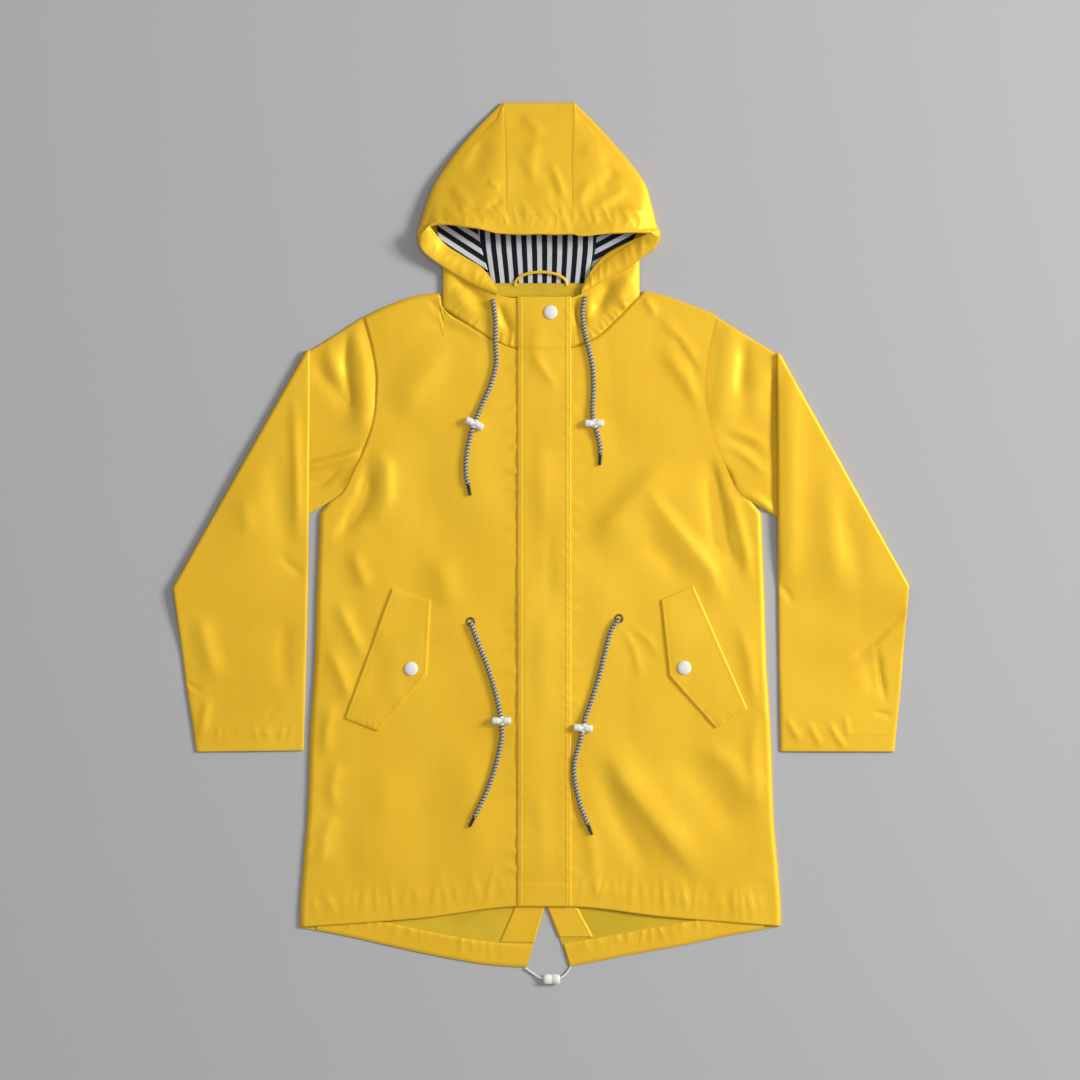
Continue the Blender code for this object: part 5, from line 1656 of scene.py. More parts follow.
@dataclass
class Sleeves:
    """Flattened sleeves: upper arm out to the diagonal fold, over it, and the forearm down on top."""

    bench: Bench
    half: float = 0.0016
    edge: float = 0.0052
    fold_radius: float = 0.0026
    plans: tuple[SleevePlan, SleevePlan] = (
        SleevePlan(Side.LEFT, (0.2800, 0.2228), (0.4412, -0.0670), (0.2842, -0.2585), (0.4128, -0.2600),
                   0.0020, UPPER_ARM_LEFT, FOREARM_LEFT),
        SleevePlan(Side.RIGHT, (0.2868, 0.2190), (0.4428, -0.0650), (0.2878, -0.2595), (0.4246, -0.2600),
                   0.0010, UPPER_ARM_RIGHT, FOREARM_RIGHT),
    )
    outer_bow: float = 0.0018
    corner_cut: float = 0.0036
    corner_swell: float = 0.0024
    drop: float = 0.080
    cuff_stitch: float = 0.0200
    across: int = 64

    def build(self) -> list[Piece]:
        """Makes both sleeves.

        Returns:
            The sleeves.
        """
        made = []
        lines = []
        for plan in self.plans:
            sleeve = self.sleeve(plan)
            made.append(sleeve)
            rise = np.array((0.0, self.cuff_stitch))
            a, b = np.array(plan.cuff_inner) + rise, np.array(plan.cuff_outer) + rise
            a, b = a + (b - a) * 0.012, b + (b - a) * 0.030
            ends = [(plan.side.value * spot[0], spot[1]) for spot in (a, b)]
            lines.append(Ground([sleeve]).along(ends))
        dress(self.bench.stitches.rows("stitches_cuffs", lines, seed=10), self.bench.finishes.thread, None)
        return made

    def layer(self, span: float, inset: float, half: float) -> tuple[Array, Array]:
        """Places across one layer of the flattened tube and their half heights."""
        edge = self.edge - inset
        near = edge * (1 - np.cos(np.linspace(0, math.pi / 2, 8)))
        rise = half * rounded(near / edge)
        middle = np.linspace(edge + inset, span - edge - inset, self.across - 14)[1:-1]
        places = np.concatenate([near + inset, middle, span - inset - near[::-1]])
        return places / span, np.concatenate([rise, np.full(len(middle), half), rise[::-1]])

    def armhole(self, share: Array) -> Array:
        """Offset from the straight line between shoulder and underarm to the armhole seam."""
        line = between(ARMHOLE_TOP, ARMHOLE_FOOT, share[:, None])
        return np.column_stack([self.bench.form.widths(line[:, 1]) - line[:, 0], np.zeros(len(share))])

    def loop(self, plan: SleevePlan, a: Array, b: Array, bend: float, lift: Callable[[Array], Array],
             bow: float) -> tuple[Array, Array]:
        """Outer and inner loops of the tube across one line of the sleeve."""
        span = float(np.linalg.norm(b - a))
        side = plan.side.value
        loops = []
        for half, inset in ((self.half, 0.0), (self.half - 0.0008, 0.0010)):
            share, rise = self.layer(span, inset, half)
            path = a + (b - a) * share[:, None] + self.armhole(share) * bow
            loop = []
            for sign in (1.0, -1.0):
                order = slice(None) if sign > 0 else slice(-2, 0, -1)
                spots = path[order]
                offset = sign * rise[order]
                place = spots + plan.out * ((self.fold_radius - offset) * math.sin(bend))[:, None]
                z = lift(spots) + self.fold_radius * (1 - math.cos(bend)) + offset * math.cos(bend)
                facing = sign * math.cos(bend)
                if facing > 0:
                    folds = plan.upper if bend < math.pi / 2 else plan.lower
                    calm = (rise[order] / half) ** 2 * facing
                    z = z + calm * relief_height(folds, side * spots[:, 0], spots[:, 1])
                loop.append(np.column_stack([side * place[:, 0], place[:, 1], np.maximum(z, 0.0002)]))
            loops.append(np.vstack(loop))
        return loops[0], loops[1]

    def beyond(self, plan: SleevePlan, spots: Array) -> Array:
        """How far a place on the forearm lies beyond the upper arm's lower edge."""
        line = np.array(plan.elbow_corner) - np.array(UNDERARM)
        normal = np.array([line[1], -line[0]]) / np.linalg.norm(line)
        return (spots[:, 0] - UNDERARM[0]) * normal[0] + (spots[:, 1] - UNDERARM[1]) * normal[1]

    def sleeve(self, plan: SleevePlan) -> Piece:
        """One sleeve as a closed tube of cloth."""
        inset = plan.out * (self.fold_radius + self.half)
        fold_top, fold_low = np.array(plan.fold_corner) - inset, np.array(plan.elbow_corner) - inset
        rings = []

        def flat(spots: Array) -> Array:
            """Lies on the floor."""
            return np.full(len(spots), self.half)

        for share in np.concatenate([0.02 * np.linspace(0, 1, 4) ** 1.3, np.linspace(0.035, 1, 40)]):
            a, b = between(ARMHOLE_TOP, fold_top, share), between(ARMHOLE_FOOT, fold_low, share)
            seam = 1 - 0.35 * (1 - float(ease(share / 0.03)))

            def at_seam(spots: Array, seam: float = seam) -> Array:
                """Lies on the floor, pressed down near the armhole's seam."""
                return np.full(len(spots), self.half * (0.35 + 0.65 * seam))

            rings.append(self.loop(plan, a, b, 0.0, at_seam, (1 - share) ** 1.5))
        along = (fold_low - fold_top) / np.linalg.norm(fold_low - fold_top)
        for bend in np.linspace(0, math.pi, 12)[1:-1]:
            low = fold_low - along * self.corner_cut * math.sin(bend)
            low = low + plan.out * self.corner_swell * (1 - math.cos(bend)) / 2
            rings.append(self.loop(plan, fold_top, low, bend, flat, 0.0))
        for share in np.concatenate([np.linspace(0, 0.985, 120), [0.990, 0.994, 0.997, 0.999, 1.0]]):
            bow = math.sin(math.pi * share)
            a = between(fold_top, np.array(plan.cuff_inner), share) - np.array([plan.inner_bow * bow, 0.0])
            b = between(fold_low, np.array(plan.cuff_outer), share) + np.array([self.outer_bow * bow**2, 0.0])
            b = b + plan.out * self.corner_swell * (1 - float(ease(share / 0.42)))
            tuck = 0.0006 * (1 - float(rounded((1 - share) / 0.006)))

            def lie(spots: Array, tuck: float = tuck) -> Array:
                """Lies on the upper arm, and on the floor beyond it."""
                return self.half - tuck - 2 * self.fold_radius * ease(self.beyond(plan, spots) / self.drop)

            rings.append(self.loop(plan, a, b, math.pi, lie, 0.0))
        word = plan.side.word
        outer, inner = (np.array(loops) for loops in zip(*rings))
        made = closed_shell(f"cloth_sleeve_{word}", outer, inner, ring=True)
        dress(made, self.bench.finishes.cloth, Slot.CLOTH, f"sleeve_{word}")
        return made


# Hood

HOOD_RELIEF: Relief = (
    Swell(0.0006, 0.05, 0.14, 91),
    Crease(((-0.024, 0.508), (-0.008, 0.490), (0.004, 0.474)), 0.0075, 0.0015),
    Crease(((-0.006, 0.478), (-0.010, 0.452), (-0.006, 0.426)), 0.0080, 0.0014),
    Crease(((-0.026, 0.462), (-0.014, 0.438), (-0.002, 0.414)), 0.0070, 0.0012),
    Crease(((0.010, 0.450), (0.020, 0.424), (0.030, 0.396)), 0.0065, 0.0015, lean=0.3),
    Crease(((0.006, 0.440), (0.016, 0.414), (0.022, 0.392)), 0.0070, -0.0014),
    Crease(((-0.062, 0.474), (-0.074, 0.450), (-0.084, 0.426)), 0.0120, -0.0016),
    Crease(((-0.066, 0.388), (-0.056, 0.393), (-0.044, 0.400)), 0.0040, -0.0016, 0.3),
    Crease(((-0.064, 0.424), (-0.056, 0.418), (-0.047, 0.412)), 0.0040, 0.0013),
    Crease(((-0.110, 0.420), (-0.092, 0.402), (-0.080, 0.386)), 0.0080, 0.0018),
    Crease(((0.046, 0.462), (0.062, 0.456), (0.080, 0.446)), 0.0090, 0.0012),
    Crease(((0.062, 0.428), (0.052, 0.410), (0.044, 0.390)), 0.0070, 0.0014),
    Crease(((0.110, 0.418), (0.084, 0.402), (0.058, 0.386)), 0.0064, 0.0015, 0.2),
    Crease(((0.086, 0.388), (0.110, 0.387), (0.134, 0.385)), 0.0050, 0.0018),
    Crease(((0.092, 0.440), (0.080, 0.424), (0.070, 0.412)), 0.0080, -0.0016),
    Gathers(((-0.139, 0.3800), (-0.042, 0.3830), (0.040, 0.3810), (0.134, 0.3760)), 0.0125, 0.0010, 0.0125,
            0.0036, 93, 0.5),
    Gathers(((-0.135, 0.3730), (-0.042, 0.3730), (0.040, 0.3710), (0.132, 0.3680)), 0.0100, 0.0005, 0.008,
            0.0028, 94, -0.3),
)
NECK_RELIEF: Relief = (
    Swell(0.0005, 0.04, 0.10, 95),
    Crease(((-0.108, 0.296), (-0.092, 0.278), (-0.078, 0.256)), 0.0120, 0.0026),
    Crease(((-0.106, 0.312), (-0.084, 0.292), (-0.060, 0.270)), 0.0085, -0.0038),
    Crease(((-0.052, 0.282), (-0.044, 0.260), (-0.034, 0.236)), 0.0060, -0.0026, 0.3),
    Crease(((-0.066, 0.272), (-0.056, 0.256), (-0.046, 0.240)), 0.0060, 0.0012),
    Crease(((0.044, 0.282), (0.046, 0.262), (0.052, 0.242)), 0.0060, -0.0036, 0.3),
    Crease(((0.088, 0.310), (0.076, 0.288), (0.064, 0.258)), 0.0080, -0.0040),
    Crease(((0.060, 0.292), (0.058, 0.272), (0.055, 0.252)), 0.0045, 0.0008),
    Crease(((0.110, 0.320), (0.102, 0.296), (0.090, 0.270)), 0.0105, 0.0034),
    Gathers(((-0.112, 0.268), (-0.089, 0.253), (-0.059, 0.235), (-0.030, 0.224)), 0.0100, 0.0012, 0.012,
            0.0032, 97),
    Gathers(((0.034, 0.224), (0.064, 0.235), (0.093, 0.260), (0.114, 0.281)), 0.0078, 0.0010, 0.014, 0.0028,
            98),
)
RIM_RELIEF: Relief = (
    Gathers(((-0.138, 0.364), (-0.110, 0.332), (-0.077, 0.310), (-0.052, 0.292)), 0.0145, 0.0007, 0.013,
            0.0040, 99, 0.4),
    Gathers(((0.136, 0.358), (0.105, 0.336), (0.072, 0.314), (0.049, 0.293)), 0.0120, 0.0010, 0.013, 0.0036,
            100, -0.4),
)
SIDE_LEFT = (
    (-0.0455, 0.5180, -0.0442, 0.5120, -0.0446, 0.5120, 0.0048, 0.0050),
    (-0.0714, 0.4920, -0.0428, 0.4780, -0.0440, 0.4780, 0.0070, 0.0110),
    (-0.0930, 0.4680, -0.0416, 0.4400, -0.0436, 0.4450, 0.0095, 0.0170),
    (-0.1110, 0.4440, -0.0414, 0.4000, -0.0430, 0.4150, 0.0115, 0.0220),
    (-0.1266, 0.4200, -0.0416, 0.3610, -0.0424, 0.3900, 0.0130, 0.0250),
    (-0.1362, 0.3960, -0.0790, 0.3660, -0.0424, 0.3650, 0.0145, 0.0260),
    (-0.1434, 0.3720, -0.1190, 0.3710, -0.0424, 0.3400, 0.0155, 0.0220),
    (-0.1470, 0.3600, -0.1340, 0.3680, -0.0424, 0.3250, 0.0155, 0.0185),
    (-0.1420, 0.3420, -0.1360, 0.3500, -0.0424, 0.3120, 0.0120, 0.0130),
    (-0.1230, 0.3300, -0.1160, 0.3360, -0.0424, 0.3000, 0.0060, 0.0060),
    (-0.1080, 0.3180, -0.1000, 0.3240, -0.0424, 0.2870, 0.0040, 0.0040),
)
SIDE_RIGHT = (
    (0.0405, 0.5180, 0.0392, 0.5120, 0.0396, 0.5120, 0.0048, 0.0050),
    (0.0666, 0.4920, 0.0380, 0.4780, 0.0390, 0.4780, 0.0070, 0.0110),
    (0.0882, 0.4680, 0.0372, 0.4400, 0.0386, 0.4450, 0.0095, 0.0170),
    (0.1086, 0.4440, 0.0376, 0.4000, 0.0384, 0.4150, 0.0115, 0.0220),
    (0.1254, 0.4200, 0.0396, 0.3585, 0.0384, 0.3900, 0.0130, 0.0250),
    (0.1326, 0.3960, 0.0890, 0.3600, 0.0384, 0.3650, 0.0145, 0.0260),
    (0.1386, 0.3720, 0.1140, 0.3610, 0.0384, 0.3400, 0.0155, 0.0220),
    (0.1430, 0.3600, 0.1310, 0.3610, 0.0384, 0.3250, 0.0155, 0.0185),
    (0.1370, 0.3440, 0.1300, 0.3500, 0.0384, 0.3120, 0.0120, 0.0130),
    (0.1220, 0.3330, 0.1150, 0.3380, 0.0384, 0.3000, 0.0060, 0.0060),
    (0.1080, 0.3200, 0.1000, 0.3260, 0.0384, 0.2880, 0.0040, 0.0040),
)
CENTRE = (
    (0.5120, -0.0442, 0.0392, 0.0050),
    (0.4780, -0.0428, 0.0380, 0.0110),
    (0.4400, -0.0416, 0.0372, 0.0170),
    (0.4000, -0.0414, 0.0376, 0.0220),
    (0.3590, -0.0416, 0.0396, 0.0250),
)
RIM_LEFT = (
    (-0.1440, 0.3570, 0.0212, -0.1325, 0.3685, 0.0219),
    (-0.1410, 0.3400, 0.0170, -0.1150, 0.3490, 0.0090),
    (-0.1170, 0.3210, 0.0120, -0.0890, 0.3320, 0.0070),
    (-0.0850, 0.3020, 0.0095, -0.0690, 0.3190, 0.0080),
    (-0.0530, 0.2870, 0.0092, -0.0520, 0.2960, 0.0088),
)
RIM_RIGHT = (
    (0.1415, 0.3550, 0.0205, 0.1290, 0.3604, 0.0208),
    (0.1360, 0.3440, 0.0170, 0.0990, 0.3480, 0.0090),
    (0.1080, 0.3210, 0.0120, 0.0760, 0.3350, 0.0070),
    (0.0840, 0.3080, 0.0095, 0.0610, 0.3180, 0.0080),
    (0.0490, 0.2885, 0.0092, 0.0500, 0.2975, 0.0088),
)
# Striped lining: y, left edge, right edge for the centre, then for each side.
LINING_CENTRE = (
    (0.3020, -0.0590, 0.0560), (0.3120, -0.0615, 0.0585), (0.3220, -0.0645, 0.0610),
    (0.3340, -0.0680, 0.0640), (0.3490, -0.0720, 0.0665), (0.3700, -0.0750, 0.0680),
    (0.4000, -0.0720, 0.0660), (0.4500, -0.0600, 0.0560),
)
LINING_LEFT = (
    (0.3140, -0.0700, -0.0620), (0.3220, -0.0800, -0.0645), (0.3340, -0.0960, -0.0680),
    (0.3490, -0.1190, -0.0720), (0.3700, -0.1240, -0.0750), (0.4000, -0.1180, -0.0720),
    (0.4500, -0.0860, -0.0600),
)
LINING_RIGHT = (
    (0.3140, 0.0585, 0.0660), (0.3220, 0.0610, 0.0720), (0.3340, 0.0640, 0.0830), (0.3490, 0.0665, 0.1070),
    (0.3700, 0.0680, 0.1180), (0.4000, 0.0660, 0.1140), (0.4500, 0.0560, 0.0820),
)


@dataclass
class Hood:
    """Hood laid on its back: three panels, turned hem of the face opening, lower hood and lining."""

    bench: Bench
    cloth: float = 0.0010
    fold_depth: float = 0.009
    crown_y: float = 0.5184
    back_y: float = 0.2854
    back_strip: Pair = (-0.0414, 0.0374)
    casing: float = 0.0225
    brim_round: float = 0.0017
    smoothing: int = 30
    facing_span: Pair = (0.2850, 0.3019)
    loop_width: float = 0.0032
    loop_centre: Pair = (0.0005, 0.2985)
    loop_reach: Pair = (0.0310, 0.0165)

    def build(self) -> list[Piece]:
        """Makes the hood.

        Returns:
            The pieces whose upper faces the cords may lie on.
        """
        top = [self.centre(), self.side(Side.LEFT, SIDE_LEFT), self.side(Side.RIGHT, SIDE_RIGHT)]
        self.brim(Ground(top))
        necks = [self.neck_part(side) for side in Side]
        rims = [self.rim(Side.LEFT, RIM_LEFT), self.rim(Side.RIGHT, RIM_RIGHT)]
        self.linings()
        self.neck_facing()
        self.hanger_loop()
        self.stitching(Ground(top), rims)
        return [*necks, *rims]

    def seam_dip(self, distance: Array, depth: float = 0.0005, reach: float = 0.0009) -> Array:
        """Groove of a seam by the distance from it."""
        return depth * np.exp(-((np.asarray(distance) / reach) ** 2))

    def centre(self) -> Piece:
        """Centre panel: up the back on the floor, over the crown, and down to the brim."""
        rows = resampled(CENTRE, 96)
        crown = rows[0]
        middle = self.cloth / 2
        line = [(y, *self.back_strip, middle, 0.0) for y in np.linspace(self.back_y, 0.500, 14)]
        depth = self.crown_y - middle - crown[0]
        for turn in np.linspace(0, math.pi, 14):
            z = middle + (crown[3] - middle) * (1 - math.cos(turn)) / 2
            line.append((crown[0] + depth * math.sin(turn), crown[1], crown[2], z, 0.0))
        line += [(*row, float(ease((crown[0] - row[0]) / 0.02))) for row in rows[1:]]
        table = np.array(line)
        t = np.linspace(0, 1, 58)[:, None]
        x = between(table[None, :, 1], table[None, :, 2], t)
        y = np.repeat(table[None, :, 0], len(t), axis=0)
        edge = t * 0.082
        z = table[None, :, 3] + table[None, :, 4] * (relief_height(HOOD_RELIEF, x, y) - self.seam_dip(edge))
        outer, inner = two_faces(np.dstack([x, y, z]), self.cloth)
        for grid in (outer, inner):
            grid[..., 0] = x
            grid[..., 2] = np.maximum(grid[..., 2], 0.0)
        made = closed_shell("cloth_hood_centre", outer, inner)
        dress(made, self.bench.finishes.cloth, Slot.CLOTH, "hood_centre")
        return made

    def side(self, side: Side, table: Sequence[Sequence[float]]) -> Piece:
        """Side panel, folded at the outline."""
        middle = self.cloth / 2
        arc = np.linspace(0, math.pi, 18)
        over = np.linspace(0, 1, 56)[1:]
        paths = []
        for row in resampled(table, 130):
            fold, upper, lower = row[0:2], row[2:4], row[4:6]
            to_lower, to_upper = lower - fold, upper - fold
            depth = min(self.fold_depth, 0.45 * np.linalg.norm(to_upper), 0.45 * np.linalg.norm(to_lower))
            unit_lower, unit_upper = to_lower / np.linalg.norm(to_lower), to_upper / np.linalg.norm(to_upper)
            start = fold + unit_lower * depth
            points = [(*(start + (lower - start) * t), middle) for t in (1.0, 0.8, 0.6, 0.4, 0.2)]
            for turn in arc:
                unit = between(unit_lower, unit_upper, turn / math.pi)
                spot = fold + unit * depth * (1 - math.sin(turn))
                points.append((*spot, middle + (row[6] - middle) * (1 - math.cos(turn)) / 2))
            start = fold + unit_upper * depth
            spots = start + (upper - start) * over[:, None]
            rise = row[6] + (row[7] - row[6]) * np.sin(over * math.pi / 2)
            path = np.vstack([points, np.column_stack([spots, rise])])
            for _ in range(self.smoothing):
                path[16:-1, 2] = (path[15:-2, 2] + 2 * path[16:-1, 2] + path[17:, 2]) / 4
            path[-len(over):, 2] += ease(over / 0.25) * relief_height(HOOD_RELIEF, spots[:, 0], spots[:, 1])
            if side is Side.RIGHT:
                path[-len(over):, 2] -= self.seam_dip(np.abs(spots[:, 0] - upper[0])) * (upper[1] > 0.362)
            paths.append(path)
        grid = np.array(paths)
        outer, inner = two_faces(grid, self.cloth)
        for faces in (outer, inner):
            faces[:, (0, -1), :2] = grid[:, (0, -1), :2]
            faces[..., 2] = np.maximum(faces[..., 2], 0.0)
        made = closed_shell(f"cloth_hood_side_{side.word}", outer, inner)
        dress(made, self.bench.finishes.cloth, Slot.CLOTH, f"hood_side_{side.word}")
        return made

    def brim_line(self, count: int) -> Array:
        """Edge of the face opening over the crown, from the left hem to the right: x, y."""
        left = [row[2:4] for row in reversed(SIDE_LEFT[4:8])]
        right = [row[2:4] for row in SIDE_RIGHT[4:8]]
        return even_route([*left[:-1], (-0.0416, 0.3592), (0.0, 0.3588), (0.0396, 0.3588), *right[1:]], count)

    def brim(self, ground: Ground) -> None:
        """Rounded turned edge of the brim."""
        line = self.brim_line(150)
        heights = np.array([ground.under(x, y + 0.0016, 0.0012) for x, y in line])
        heights = np.convolve(np.pad(heights, 4, mode="edge"), np.ones(9) / 9, mode="valid")
        turns = np.linspace(0, math.tau, 15)[:-1]
        radius = self.brim_round * (1 + 0.12 * np.sin(np.linspace(0, 47, len(line))))
        rings = []
        for k, (x, y) in enumerate(line):
            r = radius[k] * (0.3 if k in (0, len(line) - 1) else 1.0)
            centre = heights[k] - self.brim_round * 0.95
            rings.append([(x, y + 0.0010 + 1.3 * r * math.cos(t), centre + r * math.sin(t)) for t in turns])
        outer = np.array(rings)
        core = outer.mean(axis=1, keepdims=True)
        made = closed_shell("cloth_hood_brim", outer, core + (outer - core) * 0.35, ring=True)
        dress(made, self.bench.finishes.cloth, Slot.CLOTH)

    def neck_part(self, side: Side) -> Piece:
        """Lower hood on one side, from the neck seam to under the turned hem."""
        form = self.bench.form
        ends = Line(((-0.1168, 0.3290), (-0.1050, 0.3210), (-0.0890, 0.3110), (-0.0590, 0.2945),
                     (-0.0500, 0.2870), (-0.0310, 0.2838), (CLOSURE_X, 0.2838), (0.0330, 0.2838),
                     (0.0480, 0.2880), (0.0640, 0.3010), (0.0930, 0.3160), (0.1080, 0.3260),
                     (0.1188, 0.3330)))
        span = (-0.1168, CLOSURE_X - 0.0003) if side is Side.LEFT else (CLOSURE_X + 0.0003, 0.1188)
        across = np.linspace(*span, 120)
        t = np.unique(np.concatenate([np.linspace(0, 1, 44), 0.03 * np.linspace(0, 1, 5)]))[:, None]
        low = form.neck(across) + 0.0002
        y = between(low[None, :], ends(across)[None, :], t)
        x = np.repeat(across[None, :], len(t), axis=0)
        made = sheet_shell(f"cloth_hood_neck_{side.word}", x, y, form.neck_height(x, y, NECK_RELIEF),
                           self.cloth)
        dress(made, self.bench.finishes.cloth, Slot.CLOTH, f"hood_neck_{side.word}")
        return made

    def rim(self, side: Side, table: Sequence[Sequence[float]]) -> Piece:
        """Turned hem of the face opening on one side."""
        rows = resampled(table, 110)
        t = np.linspace(0, 1, 26)[None, :, None]
        t = 0.45 * t + 0.55 * (0.5 - 0.5 * np.cos(math.pi * t))
        top = between(rows[:, None, 0:3], rows[:, None, 3:6], t)
        flat = t[..., 0]
        bulge = 0.0024 * (np.sin(np.pi * flat) ** 0.6) - 0.0010
        groove = 0.0007 * np.exp(-(((flat - 0.84) / 0.035) ** 2))
        ripple = relief_height(RIM_RELIEF, top[..., 0], top[..., 1]) * np.sin(np.pi * flat) ** 0.5
        top[..., 2] += bulge - groove + ripple
        under = top.copy()
        under[..., 2] -= 0.0022
        made = closed_shell(f"cloth_hood_rim_{side.word}", top, under)
        dress(made, self.bench.finishes.cloth, Slot.CLOTH, f"hood_rim_{side.word}")
        f"hood_neck_{side.word}"
        return made

    def linings(self) -> None:
        """Striped lining in three parts."""
        finishes = self.bench.finishes
        up = np.linspace(0.3020, 0.4500, 90)
        for word, table, start in (("centre", LINING_CENTRE, 0.3020), ("left", LINING_LEFT, 0.3140),
                                   ("right", LINING_RIGHT, 0.3140)):
            rows = up[up >= start]
            low, high = Line([r[:2] for r in table])(rows), Line([(r[0], r[2]) for r in table])(rows)
            t = np.linspace(0, 1, 60)[None, :]
            x = between(low[:, None], high[:, None], t)
            y = np.repeat(rows[:, None], t.shape[1], axis=1)
            if word == "centre":
                cut = np.dstack([x * 0.5 + (t - 0.5) * 0.0640, y])
                away, rise = np.minimum(t, 1 - t) * 0.13, 0 * x
            else:
                slant = 1 if word == "right" else -1
                lean = 0.46 if word == "right" else 0.54
                cut = np.dstack([-slant * x * lean + y * math.sqrt(1 - lean * lean), y])
                outward = t if word == "right" else 1 - t
                away, rise = outward * 0.05 + 0 * y, 0.0062 * outward**1.5 * ease((y - 0.31) / 0.05)
            top = 0.0028 + rise - 0.0006 * np.exp(-((away / 0.002) ** 2))
            top = top + Swell(0.0004, 0.02, 0.05, 101).lift(x, y)
            made = sheet_shell(f"lining_{word}", x, y, np.maximum(top, 0.0016), 0.0010, uv=cut, floor=0.00121)
            dress(made, finishes.lining, Slot.LINING, f"hood_lining_{word}")

    def neck_facing(self) -> None:
        """Facing inside the back of the neck."""
        low, high = self.facing_span
        x, y = np.meshgrid(np.linspace(-0.0590, 0.0560, 90), np.linspace(low, high, 16))
        near = np.minimum(y - low, high - y)
        top = 0.0022 + 0.0010 * rounded(near / 0.002) + Swell(0.0003, 0.02, 0.05, 102).lift(x, y)
        facing = sheet_shell("cloth_neck_facing", x, y, top, 0.0010, floor=0.00121)
        dress(facing, self.bench.finishes.inside, Slot.INSIDE, "neck_facing")

    def hanger_loop(self) -> None:
        """Loop of cloth that stands up from the neck facing."""
        turns = np.linspace(math.pi, 0, 60)
        (centre_x, centre_y), (reach_x, reach_y) = self.loop_centre, self.loop_reach
        middle = np.column_stack([centre_x + reach_x * np.cos(turns),
                                  centre_y + reach_y * np.sin(turns) ** 0.8])
        out = np.column_stack([np.cos(turns) / reach_x, np.sin(turns) / reach_y])
        out = out / np.linalg.norm(out, axis=1, keepdims=True)
        wide = np.linspace(1, -1, 9)
        spots = middle[:, None, :] + out[:, None, :] * wide[None, :, None] * self.loop_width / 2
        rise = 0.0042 + 0.0026 * np.sin(turns)[:, None] + 0.0006 * np.sqrt(1 - 0.9 * wide**2)[None, :]
        loop = closed_shell("cloth_hanger_loop", np.dstack([spots, rise]), np.dstack([spots, rise - 0.0013]))
        dress(loop, self.bench.finishes.cloth, Slot.CLOTH, "hanger_loop")

    def stitching(self, ground: Ground, rims: Sequence[Piece]) -> None:
        """Stitches of the brim's casing, the turned hems and the neck facing."""
        casing = [(x, y + self.casing * (0.86 if abs(x) > 0.1 else 1.0)) for x, y in self.brim_line(40)]
        lines = [ground.along(casing)]
        for rim, table in zip(rims, (RIM_LEFT, RIM_RIGHT)):
            rows = resampled(table, 40)[1:-1]
            edge = between(rows[:, 0:2], rows[:, 3:5], 0.84)
            lines.append(Ground([rim]).along([tuple(spot) for spot in edge]))
        lines.append([(x, 0.2995, 0.0033) for x in np.linspace(-0.057, 0.054, 30)])
        dress(self.bench.stitches.rows("stitches_hood", lines, seed=12), self.bench.finishes.thread, None)


# Hardware and cords


@dataclass
class Hardware:
    """Press-stud caps and the eyelets of the waist cord."""

    bench: Bench
    snap_radius: float = 0.00825
    snap_height: float = 0.0028
    eyelet_radius: float = 0.0056
    hole_radius: float = 0.0034

    def build(self, ground: Ground) -> None:
        """Sets the hardware on the cloth.

        Args:
            ground: The cloth under it.
        """
        for word, x, y in (("neck", 0.0120, 0.2665), ("pocket_left", -0.1550, -0.1600),
                           ("pocket_right", 0.1720, -0.1590)):
            self.snap(ground, word, x, y)
        for word, route in (("left", WAIST_LEFT), ("right", WAIST_RIGHT)):
            self.eyelet(ground, word, *route[0])

    def snap(self, ground: Ground, word: str, x: float, y: float) -> None:
        """Domed cap of one press stud."""
        r = self.snap_radius
        dome = ((0.0, 0.97 * r), (0.18, r), (0.34, r), (0.50, 0.965 * r), (0.56, 0.93 * r), (0.60, 0.885 * r),
                (0.66, 0.86 * r), (0.78, 0.74 * r), (0.88, 0.58 * r), (0.95, 0.40 * r), (0.99, 0.20 * r),
                (1.0, 0.05 * r))
        z = ground.under(x, y, r * 0.9) - 0.0002
        cap = turned(f"snap_cap_{word}_dome", (x, y, z), (x, y, z + self.snap_height), dome, 64)
        dress(cap, self.bench.finishes.plastic, Slot.PLASTIC, f"snap_cap_{word}")

    def eyelet(self, ground: Ground, word: str, x: float, y: float) -> None:
        """Rolled ring of one eyelet."""
        hole, rim = self.hole_radius, self.eyelet_radius
        z = ground.under(x, y, rim) - 0.0003
        turns = np.linspace(0, math.tau, 49)[:-1]
        section = ((hole, 0.0), (hole, 0.0009), (hole + 0.0005, 0.0014), (hole + 0.0012, 0.0015),
                   (rim - 0.0005, 0.0010), (rim, 0.0004), (rim, 0.0))
        outer = np.array([[(x + a * math.cos(t), y + a * math.sin(t), z + b) for t in turns]
                          for a, b in section])
        inner = outer.copy()
        inner[..., 2] = z - 0.0004
        ring = closed_shell(f"eyelet_ring_{word}", outer, inner, ring=True)
        dress(ring, self.bench.finishes.metal, Slot.METAL, f"waist_eyelet_{word}")


